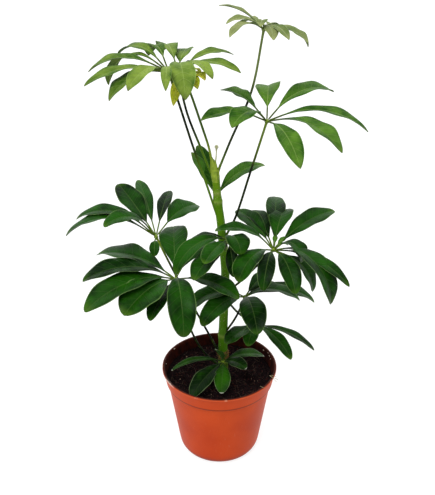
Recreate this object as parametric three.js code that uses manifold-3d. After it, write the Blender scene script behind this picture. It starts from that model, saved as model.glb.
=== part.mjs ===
// Potted dwarf umbrella plant: one bare trunk in a nursery pot of soil, with thirteen compound leaves.
// Millimetres, +Z up. The origin is at the middle of the pot's underside, on the surface it stands on.

import * as THREE from "three";
import { mergeVertices } from "three/addons/utils/BufferGeometryUtils.js";
import Module from "manifold-3d";

const wasm = await Module();
wasm.setup();

// Clearance kept between neighbouring pieces.
const GAP = 0.3;

// Pot: radii and heights of the outside, from the foot up to the lip.
const POT_HEIGHT = 100;
const RIM_RADIUS = 60;
const LIP_HEIGHT = 2;
const BAND_FOOT_HEIGHT = 83.5;
const BAND_FOOT_RADIUS = 56.2;
const BAND_TOP_RADIUS = 58.8;
const WALL_TOP_HEIGHT = 82;
const WALL_TOP_RADIUS = 54.2;
const WALL_FOOT_HEIGHT = 12;
const WALL_FOOT_RADIUS = 43.5;
const CORNER_RADII = [36, 39.5, 42.3];
const CORNER_HEIGHTS = [0, 1.5, 6];
const POT_WALL = 1.4;
const POT_FLOOR = 1.6;
const POT_SIDES = 32;

// Drain slots, cut through the rounded corner of the floor.
const DRAIN_COUNT = 4;
const DRAIN_FIRST_BEARING = 240;
const DRAIN_WIDTH = 12;
const DRAIN_INNER_RADIUS = 33;
const DRAIN_OUTER_RADIUS = 42;
const DRAIN_TOP = 2.2;

// Soil: its edge on the pot's wall, and how much its top rolls up and down.
const SOIL_HEIGHT = 88;
const SOIL_ROLL = 1.1;
const SOIL_RINGS = [50, 36, 20, 8];

// Trunk: centre line and thickness, from below the soil up to the tip.
const TRUNK_LINE = [
  [3.8, 0, 60],
  [3.8, 0, 110],
  [3.7, 0, 131],
  [4.3, 0.5, 160],
  [5.2, 1, 190],
  [5.7, 1, 214],
  [2.8, 0.5, 247],
  [1.1, 0, 267],
  [-1.9, -0.5, 290],
  [-3.6, 0, 312],
  [-5.2, 0, 328],
];
const TRUNK_RADII = [
  [60, 4.4],
  [84, 5.2],
  [98, 5.4],
  [104, 4.9],
  [130, 4.5],
  [138, 5.3],
  [145, 4.6],
  [176, 4.4],
  [183, 5.0],
  [189, 4.3],
  [232, 4.2],
  [240, 4.7],
  [246, 4.1],
  [282, 3.9],
  [289, 4.5],
  [295, 3.8],
  [306, 3.6],
  [314, 3.7],
  [322, 2.9],
  [328, 1.9],
];
const TRUNK_SIDES = 10;

// Bud on the trunk's tip: a thin stalk with a small head.
const BUD_FOOT = [-3.9, 0, 328.4];
const BUD_HEAD = [-2.8, 0, 343];
const BUD_STALK_RADIUS = 0.7;
const BUD_RADIUS = 1.7;

// Sheath round the trunk's tip, at the foot of the youngest leaf stalk.
const SHEATH_WALL = 1;
const SHEATH_FOOT = 316;
const SHEATH_TOP = 332;
const SHEATH_MIDDLE = -5;

// Leaf stalks and leaflets.
const LEAF_STALK_RADIUS = 1.1;
const LEAF_STALK_SIDES = 5;
const LEAF_STALK_STEPS = 8;
const HUB_RADIUS = 2.3;
const ROOT_INSET = 0.9;
const RIB_WIDTH = 1.5;
const RIB_THICKNESS = 1.5;
const BLADE_THICKNESS = 0.7;
const BLADE_ROWS = 5;
const TIP_WIDTH = 1;
const ROOT_POWER = 0.8;
const POINTED = 0.8;
const BLUNT = 0.5;
const FOLD_ANGLE = 14;
const ROLL_ANGLE = 9;
const ROLL_STEP = 2.4;

// Colours, read from the photograph by eye.
const TERRACOTTA = 0xc4532e;
const PEAT = 0x2a1f1a;
const BARK_GREEN = 0x5f8a2c;
const BUD_GREEN = 0xa9b46a;
const YOUNG_GREEN = 0x9aa93c;
const TOP_GREEN = 0x8fa679;
const BRIGHT_GREEN = 0x5f9040;
const DARK_GREEN = 0x2c5a26;

// Compound leaves. "hub" is where the leaflets meet, "route" the leaf stalk's way to it from the trunk's
// middle, "stem" the length of each leaflet's own stalk, "tip" the form of the leaflets' ends. A leaflet is
// [bearing, length, width, rise, droop]: its bearing is in degrees round from +X, it sets out at "rise" above
// level and has turned down by "droop" at its tip.
const LEAVES = [
  {
    name: "leaf_top_right",
    colour: TOP_GREEN,
    hub: [39, 28, 443],
    route: [[-3.8, 0, 313], [9, 7, 344], [29, 23.5, 388]],
    stem: 9,
    tip: POINTED,
    leaflets: [
      [159, 39, 11, 41, 46],
      [196, 30, 11, 39, 74],
      [224, 38, 14, 30, 76],
      [262, 29, 10, 42, 70],
      [280, 32, 13, 27, 74],
      [295, 39, 10, 24, 59],
      [321, 41, 17, 16, 55],
      [21, 45, 13, 8, 77],
      [69, 33, 13, 11, 79],
      [118, 36, 15, 18, 65],
    ],
  },
  {
    name: "leaf_top_left",
    colour: BRIGHT_GREEN,
    hub: [-44, -10, 415],
    route: [[0.5, 0, 264], [-5, -0.8, 282], [-12, -2, 306], [-24, -4, 344], [-35, -7, 383]],
    stem: 16,
    tip: POINTED,
    leaflets: [
      [112, 50, 17, 36, 95],
      [134, 61, 14, 31, 75],
      [148, 71, 17, 26, 110],
      [179, 59, 20, 26, 68],
      [213, 66, 15, 18, 45],
      [225, 55, 21, 14, 62],
      [241, 50, 16, 24, 66],
      [271, 50, 9, 27, 69],
    ],
  },
  {
    name: "leaf_top_middle",
    colour: BRIGHT_GREEN,
    hub: [-38, 20, 408],
    route: [[-2.6, 0, 298], [-7, 6, 311], [-18, 11, 339], [-30, 17, 370]],
    stem: 14,
    tip: POINTED,
    leaflets: [
      [37, 53, 15, 24, 51],
      [83, 47, 18, 15, 27],
      [104, 67, 20, 28, 70],
      [278, 66, 22, 33, 93],
      [304, 49, 14, 34, 74],
      [329, 55, 13, 27, 53],
    ],
  },
  {
    name: "leaf_young",
    colour: YOUNG_GREEN,
    hub: [-31, 2, 406],
    route: [[-6.5, 0, 318], [-9, 1, 338], [-18, 2, 368], [-25, 2, 390]],
    stem: 7,
    tip: POINTED,
    leaflets: [
      [60, 23, 8, 27, 81],
      [259, 40, 10, 11, 63],
      [290, 31, 11, 23, 56],
      [311, 24, 12, 35, 70],
    ],
  },
  {
    name: "leaf_upper_right",
    colour: BRIGHT_GREEN,
    hub: [42, -5, 369],
    route: [[2.9, 0, 246], [14, -4, 271], [28, -6, 320]],
    stem: 15,
    tip: POINTED,
    leaflets: [
      [32, 68, 23, 40, 71],
      [86, 59, 24, 36, 68],
      [152, 39, 26, 43, 50],
      [212, 57, 21, 28, 44],
      [236, 49, 22, 39, 76],
      [288, 68, 19, 11, 55],
      [320, 71, 28, 19, 65],
      [353, 82, 19, 24, 67],
    ],
  },
  {
    name: "leaf_crown",
    colour: DARK_GREEN,
    hub: [-3, 9, 289],
    route: [[-1.5, 0, 283], [-2.3, 5, 286]],
    stem: 4,
    tip: POINTED,
    leaflets: [
      [33, 59, 19, 50, 64],
      [116, 54, 15, 60, 39],
      [140, 45, 16, 54, 8],
    ],
  },
  {
    name: "leaf_left",
    colour: DARK_GREEN,
    hub: [-62, 8, 247],
    route: [[3.8, 0, 106], [-11, -2, 140], [-23, 2, 163], [-45, 6, 208]],
    stem: 18,
    tip: BLUNT,
    leaflets: [
      [48, 44, 29, 31, 48],
      [82, 56, 15, 24, 26],
      [106, 70, 16, 26, 22],
      [126, 59, 26, 28, 10],
      [172, 72, 20, 42, 82],
      [188, 80, 26, 39, 86],
      [209, 49, 20, 57, 93],
      [271, 19, 10, 15, 100],
    ],
  },
  {
    name: "leaf_lower_left",
    colour: DARK_GREEN,
    hub: [-42, -28, 220],
    route: [[3.8, 0, 96], [-8, 3, 104], [-19, 2, 119], [-30, -11, 154], [-37, -21, 188]],
    stem: 12,
    tip: BLUNT,
    leaflets: [
      [61, 64, 24, 29, 52],
      [94, 68, 29, 35, 49],
      [160, 75, 37, 31, 54],
      [194, 82, 29, 35, 66],
      [217, 91, 31, 26, 59],
      [251, 52, 18, 6, 36],
      [236, 67, 36, 20, 49],
      [279, 75, 26, 32, 126],
      [337, 57, 24, 17, 55],
    ],
  },
  {
    name: "leaf_base",
    colour: DARK_GREEN,
    hub: [4, -9, 110],
    route: [[3.8, 0, 105], [4, -5, 107]],
    stem: 3,
    tip: BLUNT,
    leaflets: [
      [21, 46, 14, 22, 60],
      [188, 55, 8, 26, 68],
      [230, 22, 11, 72, 25],
      [229, 50, 21, 0, 40],
      [267, 37, 17, -1, 37],
      [323, 28, 15, 35, 62],
    ],
  },
  {
    name: "leaf_lower_middle",
    colour: DARK_GREEN,
    hub: [25, -10, 189],
    route: [[3.8, 0, 137], [14, -6, 158], [19, -8, 170]],
    stem: 6,
    tip: BLUNT,
    leaflets: [
      [7, 72, 21, 25, 74],
      [35, 48, 20, 22, 68],
      [55, 45, 16, 23, 40],
      [193, 58, 25, 34, 92],
      [225, 58, 23, 25, 70],
      [280, 59, 25, 29, 75],
      [350, 54, 23, 38, 81],
    ],
  },
  {
    name: "leaf_right",
    colour: DARK_GREEN,
    hub: [51, -20, 247],
    route: [[5, 0, 180], [13, -6, 197], [20, -9, 206], [36, -16, 228]],
    stem: 13,
    tip: BLUNT,
    leaflets: [
      [32, 64, 24, 34, 38],
      [74, 46, 24, 46, 66],
      [85, 68, 20, 37, 50],
      [109, 58, 21, 30, 52],
      [122, 54, 21, 29, 36],
      [231, 50, 27, 24, 90],
      [257, 50, 16, 20, 87],
      [287, 52, 19, 14, 73],
      [334, 47, 19, -9, 80],
      [316, 82, 27, 27, 118],
      [325, 73, 14, 15, 57],
      [322, 35, 20, 47, 150],
      [176, 51, 18, 47, 73],
    ],
  },
  {
    name: "leaf_middle",
    colour: DARK_GREEN,
    hub: [8, -18, 257],
    route: [[3.5, 0, 237], [6, -10, 246]],
    stem: 6,
    tip: BLUNT,
    leaflets: [
      [165, 41, 13, 17, 76],
      [208, 64, 20, 24, 102],
      [234, 52, 24, -6, 30],
      [243, 43, 19, 12, 34],
      [292, 33, 23, 49, 120],
      [281, 33, 13, -20, 54],
    ],
  },
  {
    name: "leaf_lower_right",
    colour: DARK_GREEN,
    hub: [38, 10, 143],
    route: [[5, 0, 186], [12, 5, 170], [21, 7, 158]],
    stem: 5,
    tip: BLUNT,
    leaflets: [
      [227, 42, 21, 15, 36],
      [254, 32, 16, 20, 60],
      [308, 54, 15, 13, 58],
      [346, 63, 13, 3, 48],
    ],
  },
];

const radians = THREE.MathUtils.degToRad;

// Leaves only positions in the geometry, shares its vertices, and drops triangles that shrank to nothing.
function weld(geometry) {
  geometry.deleteAttribute("normal");
  geometry.deleteAttribute("uv");
  const merged = mergeVertices(geometry, 1e-4);
  const corners = merged.index.array;
  const kept = [];
  for (let i = 0; i < corners.length; i += 3) {
    const [a, b, c] = corners.slice(i, i + 3);
    if (a !== b && b !== c && c !== a) kept.push(a, b, c);
  }
  merged.setIndex(kept);
  return merged;
}

function toSolid(geometry) {
  const merged = weld(geometry);
  return new wasm.Manifold(
    new wasm.Mesh({
      numProp: 3,
      vertProperties: new Float32Array(merged.attributes.position.array),
      triVerts: new Uint32Array(merged.index.array),
    }),
  );
}

function toGeometry(solid) {
  const mesh = solid.getMesh();
  const geometry = new THREE.BufferGeometry();
  geometry.setAttribute("position", new THREE.BufferAttribute(mesh.vertProperties.slice(), 3));
  geometry.setIndex(new THREE.BufferAttribute(mesh.triVerts.slice(), 1));
  geometry.computeVertexNormals();
  return geometry;
}

// Turns a closed outline of [radius, height] pairs round the Z axis.
function turned(outline, sides) {
  const points = outline.map(([radius, height]) => new THREE.Vector2(radius, height));
  return new THREE.LatheGeometry(points, sides).rotateX(Math.PI / 2);
}

function block(size, middle) {
  return new THREE.BoxGeometry(...size).translate(...middle);
}

// The radius of the pot's inner wall at a height.
function innerRadius(height) {
  const bandSlope = (BAND_TOP_RADIUS - BAND_FOOT_RADIUS) / (POT_HEIGHT - LIP_HEIGHT - BAND_FOOT_HEIGHT);
  return BAND_FOOT_RADIUS - POT_WALL + bandSlope * (height - BAND_FOOT_HEIGHT);
}

function potSolid() {
  const outside = [
    [0, 0],
    ...CORNER_RADII.map((radius, i) => [radius, CORNER_HEIGHTS[i]]),
    [WALL_FOOT_RADIUS, WALL_FOOT_HEIGHT],
    [WALL_TOP_RADIUS, WALL_TOP_HEIGHT],
    [BAND_FOOT_RADIUS, BAND_FOOT_HEIGHT],
    [BAND_TOP_RADIUS, POT_HEIGHT - LIP_HEIGHT],
    [RIM_RADIUS, POT_HEIGHT - LIP_HEIGHT],
    [RIM_RADIUS, POT_HEIGHT],
  ];
  const inside = [
    [innerRadius(POT_HEIGHT), POT_HEIGHT],
    [innerRadius(BAND_FOOT_HEIGHT), BAND_FOOT_HEIGHT],
    [WALL_TOP_RADIUS - POT_WALL, WALL_TOP_HEIGHT],
    [WALL_FOOT_RADIUS - POT_WALL, WALL_FOOT_HEIGHT],
    [CORNER_RADII[1], POT_FLOOR + CORNER_HEIGHTS[1]],
    [CORNER_RADII[0], POT_FLOOR],
    [0, POT_FLOOR],
  ];
  let pot = toSolid(turned([...outside, ...inside], POT_SIDES));
  const reach = DRAIN_OUTER_RADIUS - DRAIN_INNER_RADIUS;
  for (let i = 0; i < DRAIN_COUNT; i += 1) {
    const slot = block([reach, DRAIN_WIDTH, 2 * DRAIN_TOP], [DRAIN_INNER_RADIUS + reach / 2, 0, 0]);
    slot.rotateZ(radians(DRAIN_FIRST_BEARING + (360 / DRAIN_COUNT) * i));
    pot = pot.subtract(toSolid(slot));
  }
  return pot;
}

// Soil fills the pot. Its top rises and falls with a sum of slow waves.
function soilSolid() {
  const edge = innerRadius(SOIL_HEIGHT) - GAP;
  const outline = [
    [0, POT_FLOOR + GAP],
    [CORNER_RADII[0] - GAP, POT_FLOOR + GAP],
    [CORNER_RADII[1] - 2 * GAP, POT_FLOOR + CORNER_HEIGHTS[1] + GAP],
    [WALL_FOOT_RADIUS - POT_WALL - GAP, WALL_FOOT_HEIGHT + GAP],
    [WALL_TOP_RADIUS - POT_WALL - GAP, WALL_TOP_HEIGHT],
    [edge, SOIL_HEIGHT],
    ...SOIL_RINGS.map((radius) => [radius, SOIL_HEIGHT]),
    [0, SOIL_HEIGHT],
  ];
  const geometry = turned(outline, POT_SIDES);
  const place = geometry.attributes.position;
  for (let i = 0; i < place.count; i += 1) {
    const [x, y, z] = [place.getX(i), place.getY(i), place.getZ(i)];
    const inward = 1 - Math.min(1, Math.hypot(x, y) / edge);
    const wave = Math.sin(x / 7 + 1) + Math.cos(y / 6) + Math.sin((x + y) / 4);
    if (z > WALL_TOP_HEIGHT + GAP) place.setZ(i, z + SOIL_ROLL * wave * Math.min(1, 3 * inward));
  }
  return toSolid(geometry).subtract(trunkSolid(GAP));
}

// The trunk is turned round Z and its rings are then moved sideways onto the centre line.
// "extra" makes a thicker copy, which cuts the room that neighbours leave for it.
function trunkSolid(extra = 0) {
  const outline = TRUNK_RADII.map(([height, radius]) => [radius + extra, height]);
  const top = TRUNK_RADII.at(-1)[0] + extra;
  const foot = TRUNK_RADII[0][0] - extra;
  outline.at(-1)[1] = top;
  outline[0][1] = foot;
  const geometry = turned([[0, foot], ...outline, [0, top]], TRUNK_SIDES);
  const line = new THREE.CatmullRomCurve3(TRUNK_LINE.map((point) => new THREE.Vector3(...point)));
  const course = line.getPoints(100);
  const place = geometry.attributes.position;
  for (let i = 0; i < place.count; i += 1) {
    const height = place.getZ(i);
    const above = course.findIndex((point) => point.z >= height);
    const near = course[above < 0 ? course.length - 1 : above];
    place.setX(i, place.getX(i) + near.x);
    place.setY(i, place.getY(i) + near.y);
  }
  return toSolid(geometry);
}

// A round rod along a smooth line through the points.
function rodGeometry(points, radius, sides, steps) {
  const course = new THREE.CatmullRomCurve3(points.map((point) => new THREE.Vector3(...point)));
  const section = new THREE.Shape();
  for (let i = 0; i < sides; i += 1) {
    const turn = (2 * Math.PI * i) / sides;
    const corner = [radius * Math.cos(turn), radius * Math.sin(turn)];
    if (i === 0) section.moveTo(...corner);
    else section.lineTo(...corner);
  }
  return new THREE.ExtrudeGeometry(section, { steps, extrudePath: course });
}

function ballGeometry(middle, radius) {
  return new THREE.SphereGeometry(radius, 6, 5).translate(...middle);
}

// Half of the blade's width at a share of its length, for a blade widest past its middle. "tip" is how
// pointed its end is: a low power rounds it.
function halfWidth(share, width, tip) {
  const power = ROOT_POWER + (tip - ROOT_POWER) * share;
  return (width / 2) * Math.sin(Math.PI * share ** 1.3) ** power;
}

// Stations along one leaflet, from inside the hub to the tip. Each has its distance out from the hub, its
// height over it, its slope, and half its width and thickness.
function leafletStations(stem, tip, [, length, width, rise, droop]) {
  const start = radians(rise);
  const turn = radians(droop);
  const bend = length / turn;
  const root = {
    reach: ROOT_INSET * Math.cos(start),
    height: ROOT_INSET * Math.sin(start),
    slope: start,
    halfWidth: RIB_WIDTH / 2,
    halfThickness: RIB_THICKNESS / 2,
  };
  const stations = [root];
  for (let i = 0; i <= BLADE_ROWS; i += 1) {
    const share = (1 - Math.cos((Math.PI * i) / BLADE_ROWS)) / 2;
    const slope = start - turn * share;
    const least = i === 0 ? RIB_WIDTH / 2 : TIP_WIDTH / 2;
    stations.push({
      reach: stem * Math.cos(start) + bend * (Math.sin(start) - Math.sin(slope)),
      height: stem * Math.sin(start) + bend * (Math.cos(slope) - Math.cos(start)),
      slope,
      halfWidth: i === 0 || i === BLADE_ROWS ? least : Math.max(least, halfWidth(share, width, tip)),
      halfThickness: (i === 0 ? RIB_THICKNESS : BLADE_THICKNESS) / 2,
    });
  }
  return stations;
}

// One leaflet with its stalk: a flat grid, two squares wide, laid along the stations, with its two halves
// folded up from the rib and the whole rolled a little to one side. Both faces are split alike.
function leafletGeometry(leaf, leaflet, roll) {
  const stations = leafletStations(leaf.stem, leaf.tip, leaflet);
  const grid = new THREE.PlaneGeometry(1, 1, 2, stations.length - 1);
  const count = grid.attributes.position.count;
  const bearing = radians(leaflet[0]);
  const out = new THREE.Vector3(Math.cos(bearing), Math.sin(bearing), 0);
  const up = new THREE.Vector3(0, 0, 1);
  const positions = [];
  for (const face of [1, -1]) {
    stations.forEach((station) => {
      const ahead = out.clone().multiplyScalar(Math.cos(station.slope));
      ahead.addScaledVector(up, Math.sin(station.slope));
      const side = new THREE.Vector3(-Math.sin(bearing), Math.cos(bearing), 0).applyAxisAngle(ahead, roll);
      const normal = new THREE.Vector3().crossVectors(ahead, side);
      for (const across of [-1, 0, 1]) {
        const lift = Math.abs(across) * station.halfWidth * Math.tan(radians(FOLD_ANGLE));
        const point = new THREE.Vector3(...leaf.hub);
        point.addScaledVector(out, station.reach);
        point.addScaledVector(up, station.height);
        point.addScaledVector(side, across * station.halfWidth);
        point.addScaledVector(normal, lift + face * station.halfThickness);
        positions.push(...point);
      }
    });
  }
  const last = 3 * (stations.length - 1);
  const rim = [0, 1, 2];
  for (let row = 3; row <= last; row += 3) rim.push(row + 2);
  rim.push(last + 1, last);
  for (let row = last - 3; row > 0; row -= 3) rim.push(row);
  const corners = [...grid.index.array];
  const index = [];
  for (let i = 0; i < corners.length; i += 3) {
    const [a, b, c] = corners.slice(i, i + 3);
    index.push(a, b, c, a + count, c + count, b + count);
  }
  rim.forEach((from, i) => {
    const to = rim[(i + 1) % rim.length];
    index.push(from, to, from + count, to, to + count, from + count);
  });
  const geometry = new THREE.BufferGeometry();
  geometry.setAttribute("position", new THREE.Float32BufferAttribute(positions, 3));
  geometry.setIndex(index);
  return geometry;
}

// The youngest leaf stalk widens at its foot into a sheath that clasps one side of the trunk's tip.
function sheathSolid() {
  const tall = SHEATH_TOP - SHEATH_FOOT;
  const middle = [SHEATH_MIDDLE - 10, 0, SHEATH_FOOT + tall / 2];
  const room = toSolid(block([20, 20, tall], middle));
  return trunkSolid(GAP + SHEATH_WALL).intersect(room);
}

function leafSolid(leaf) {
  const route = [...leaf.route, leaf.hub];
  let solid = toSolid(rodGeometry(route, LEAF_STALK_RADIUS, LEAF_STALK_SIDES, LEAF_STALK_STEPS));
  solid = solid.add(toSolid(ballGeometry(leaf.hub, HUB_RADIUS)));
  if (leaf.name === "leaf_young") solid = solid.add(sheathSolid());
  leaf.leaflets.forEach((leaflet, i) => {
    const roll = radians(ROLL_ANGLE * Math.sin(ROLL_STEP * (i + 1)));
    solid = solid.add(toSolid(leafletGeometry(leaf, leaflet, roll)));
  });
  return solid.subtract(trunkSolid(GAP));
}

function budSolid() {
  const stalk = toSolid(rodGeometry([BUD_FOOT, BUD_HEAD], BUD_STALK_RADIUS, LEAF_STALK_SIDES, 2));
  return stalk.add(toSolid(ballGeometry(BUD_HEAD, BUD_RADIUS)));
}

function piece(name, solid, color, roughness) {
  const material = new THREE.MeshStandardMaterial({ color, roughness, metalness: 0 });
  const mesh = new THREE.Mesh(toGeometry(solid), material);
  mesh.name = name;
  return mesh;
}

const plant = new THREE.Group();
plant.add(piece("pot", potSolid(), TERRACOTTA, 0.5));
plant.add(piece("soil", soilSolid(), PEAT, 0.95));
plant.add(piece("trunk", trunkSolid(), BARK_GREEN, 0.6));
plant.add(piece("tip_bud", budSolid(), BUD_GREEN, 0.7));
for (const leaf of LEAVES) plant.add(piece(leaf.name, leafSolid(leaf), leaf.colour, 0.4));

export default plant;
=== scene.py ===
"""Potted dwarf umbrella plant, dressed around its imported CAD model.

Metres, +Z up, with the origin at the middle of the pot's underside. One bare trunk stands in a nursery pot of
peat and carries thirteen compound leaves. Each CAD node is replaced by finer pieces of the same form. Tables
of sizes are in millimetres and degrees, as in the CAD source, and are turned into metres where they are used.
"""

import logging
import math
from dataclasses import dataclass, field
from enum import Enum
from typing import Any, Sequence

import bmesh
import bpy
import numpy as np
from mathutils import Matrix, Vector, noise


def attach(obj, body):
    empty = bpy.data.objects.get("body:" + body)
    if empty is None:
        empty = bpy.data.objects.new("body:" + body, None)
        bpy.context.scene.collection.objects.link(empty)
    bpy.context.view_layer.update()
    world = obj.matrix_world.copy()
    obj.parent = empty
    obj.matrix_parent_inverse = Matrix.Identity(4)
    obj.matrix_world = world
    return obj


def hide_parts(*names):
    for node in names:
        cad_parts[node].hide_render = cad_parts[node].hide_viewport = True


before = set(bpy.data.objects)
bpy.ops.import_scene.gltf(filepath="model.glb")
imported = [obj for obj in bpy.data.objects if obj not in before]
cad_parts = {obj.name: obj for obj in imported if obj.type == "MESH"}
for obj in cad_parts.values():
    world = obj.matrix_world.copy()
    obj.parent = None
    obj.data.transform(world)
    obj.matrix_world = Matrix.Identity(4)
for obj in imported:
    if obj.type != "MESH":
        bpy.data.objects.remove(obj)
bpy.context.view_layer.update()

log = logging.getLogger("umbrella_plant")

# The frame's one body, a millimetre in metres, numbers for the sums, and how near each other the points of a
# piece and of a blade's seam are merged, in metres.
BODY = "root"
MM = 0.001
TAU = 2 * math.pi
EULER = math.e
WELD = 1e-7
SEAM = 1e-6

Point = Sequence[float]
Setting = dict[str, Any]


class Slot(Enum):
    """The record's material slots."""

    POT = "pot_plastic"
    PEAT = "peat"
    BARK = "green_bark"
    BUD = "bud"
    PALE = "leaf_pale"
    BRIGHT = "leaf_bright"
    NEW = "leaf_new"
    DARK = "leaf_dark"


# Small helpers for colours, lines and meshes.


def paint(code: str) -> tuple[float, float, float, float]:
    """Turns a screen colour such as "#2c5a26" into the linear colour that nodes take.

    Args:
        code: The colour's six hexadecimal digits after a hash sign.

    Returns:
        Red, green, blue and full alpha.
    """
    parts = [int(code[i : i + 2], 16) / 255 for i in (1, 3, 5)]
    linear = [p / 12.92 if p <= 0.04045 else ((p + 0.055) / 1.055) ** 2.4 for p in parts]
    return (linear[0], linear[1], linear[2], 1.0)


def around(count: int) -> np.ndarray:
    """The bearings of evenly spaced places round an axis, in radians."""
    return np.arange(count) * TAU / count


def outward(bearing: float) -> np.ndarray:
    """The level direction at a bearing in radians."""
    return np.array([math.cos(bearing), math.sin(bearing), 0])


def ring_at(radius: float, height: float, count: int) -> list[Point]:
    """Evenly spaced points round the pot's axis."""
    return [(radius * math.cos(turn), radius * math.sin(turn), height) for turn in around(count)]


def smooth_line(points: Sequence[Point], steps: int) -> np.ndarray:
    """Runs a smooth line through points, the same one that the CAD source uses.

    Args:
        points: The points that the line passes through, in millimetres.
        steps: How many steps each stretch between two points has.

    Returns:
        The line's points in metres, one row each.
    """
    given = np.array(points, float) * MM
    ends = [2 * given[0] - given[1], *given, 2 * given[-1] - given[-2]]
    line = []
    for p0, p1, p2, p3 in zip(ends, ends[1:], ends[2:], ends[3:]):
        d0, d1, d2 = (math.sqrt(np.linalg.norm(b - a)) for a, b in ((p0, p1), (p1, p2), (p2, p3)))
        leave = d1 * ((p1 - p0) / d0 - (p2 - p0) / (d0 + d1) + (p2 - p1) / d1)
        arrive = d1 * ((p2 - p1) / d1 - (p3 - p1) / (d1 + d2) + (p3 - p2) / d2)
        for t in np.arange(steps) / steps:
            bend = -3 * p1 + 3 * p2 - 2 * leave - arrive
            line.append(p1 + leave * t + bend * t**2 + (2 * p1 - 2 * p2 + leave + arrive) * t**3)
    line.append(given[-1])
    return np.array(line)


def rounded(outline: Sequence[Point], steps: int = 5) -> list[tuple[float, float]]:
    """Rounds the corners of an outline.

    Args:
        outline: Corners as radius, height and how far from the corner its rounding starts, in millimetres.
        steps: How many short lines make one rounded corner.

    Returns:
        The finer outline as pairs of radius and height, in metres.
    """
    places = [np.array(corner[:2], float) for corner in outline]
    finer = []
    for i, corner in enumerate(outline):
        if corner[2] == 0:
            finer.append(places[i])
            continue
        before, here, after = places[i - 1], places[i], places[(i + 1) % len(places)]
        start = here + (before - here) / np.linalg.norm(before - here) * corner[2]
        stop = here + (after - here) / np.linalg.norm(after - here) * corner[2]
        for t in np.linspace(0, 1, steps + 1):
            finer.append(start * (1 - t) ** 2 + here * 2 * t * (1 - t) + stop * t**2)
    return [(p[0] * MM, p[1] * MM) for p in finer]


def make_mesh(name: str, points: Sequence[Point], faces: Sequence[Sequence[int]],
              marks: dict[str, Sequence[float]] | None = None,
              edges: Sequence[Sequence[int]] = ()) -> bpy.types.Object:
    """Makes a mesh object at the origin.

    Args:
        name: The object's name.
        points: The vertices in metres.
        faces: The faces as vertex numbers.
        marks: Named values, one for each vertex, which materials and node trees read.
        edges: Loose edges as vertex numbers.

    Returns:
        The new object, linked to the scene.
    """
    mesh = bpy.data.meshes.new(name)
    mesh.from_pydata([tuple(p) for p in points], list(edges), list(faces))
    for mark, values in (marks or {}).items():
        mesh.attributes.new(mark, "FLOAT", "POINT").data.foreach_set("value", np.array(values, np.float32))
    made = bpy.data.objects.new(name, mesh)
    bpy.context.scene.collection.objects.link(made)
    return made


def copy_of(piece: bpy.types.Object, name: str) -> bpy.types.Object:
    """A new object with a copy of a piece's mesh, for what grows or is scattered on it."""
    made = bpy.data.objects.new(name, piece.data.copy())
    bpy.context.scene.collection.objects.link(made)
    return made


def ring_faces(first: int, rows: int, count: int) -> list[list[int]]:
    """Joins rings of points that follow one another.

    Args:
        first: The number of the first ring's first point.
        rows: How many rows of faces there are, which is one less than the rings.
        count: How many points each ring has.

    Returns:
        The faces as point numbers.
    """
    faces = []
    for row in range(rows):
        for i in range(count):
            a, j = first + row * count, (i + 1) % count
            faces.append([a + i, a + j, a + j + count, a + i + count])
    return faces


def tube(rings: Sequence[np.ndarray]) -> tuple[list[Point], list[list[int]]]:
    """Skins rings of points into one closed shell, with a middle point at each end.

    Args:
        rings: Rings of equally many points, each turning the same way.

    Returns:
        The shell's points and faces.
    """
    count = len(rings[0])
    points = [p for ring in rings for p in ring]
    faces = ring_faces(0, len(rings) - 1, count)
    last = (len(rings) - 1) * count
    foot, top = len(points), len(points) + 1
    points += [np.mean(rings[0], axis=0), np.mean(rings[-1], axis=0)]
    for i in range(count):
        j = (i + 1) % count
        faces.append([foot, j, i])
        faces.append([top, last + i, last + j])
    return points, faces


def tidy(piece: bpy.types.Object, crease: float) -> bpy.types.Object:
    """Merges doubled points, turns the faces outwards and shades them smooth up to a crease angle.

    Args:
        piece: A mesh object of closed shells.
        crease: Edges sharper than this many degrees stay sharp.

    Returns:
        The same object.
    """
    work = bmesh.new()
    work.from_mesh(piece.data)
    bmesh.ops.remove_doubles(work, verts=work.verts, dist=WELD)
    bmesh.ops.dissolve_degenerate(work, edges=work.edges, dist=WELD)
    bmesh.ops.recalc_face_normals(work, faces=work.faces)
    work.to_mesh(piece.data)
    work.free()
    piece.data.shade_smooth()
    piece.data.set_sharp_from_angle(angle=math.radians(crease))
    return piece


def finish_piece(piece: bpy.types.Object, slot: Slot, *nodes: str) -> bpy.types.Object:
    """Hands a finished piece to the frame and reports it.

    Args:
        piece: The finished mesh object.
        slot: The material slot that it takes its finish from, which is not used.
        nodes: The CAD nodes that it stands for.

    Returns:
        The same object.
    """
    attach(piece, BODY)
    if nodes:
        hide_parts(*nodes)
    log.info("%s: %d faces", piece.name, len(piece.data.polygons))
    return piece


# Node trees, for shapes that follow a rule and for finishes.


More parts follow.
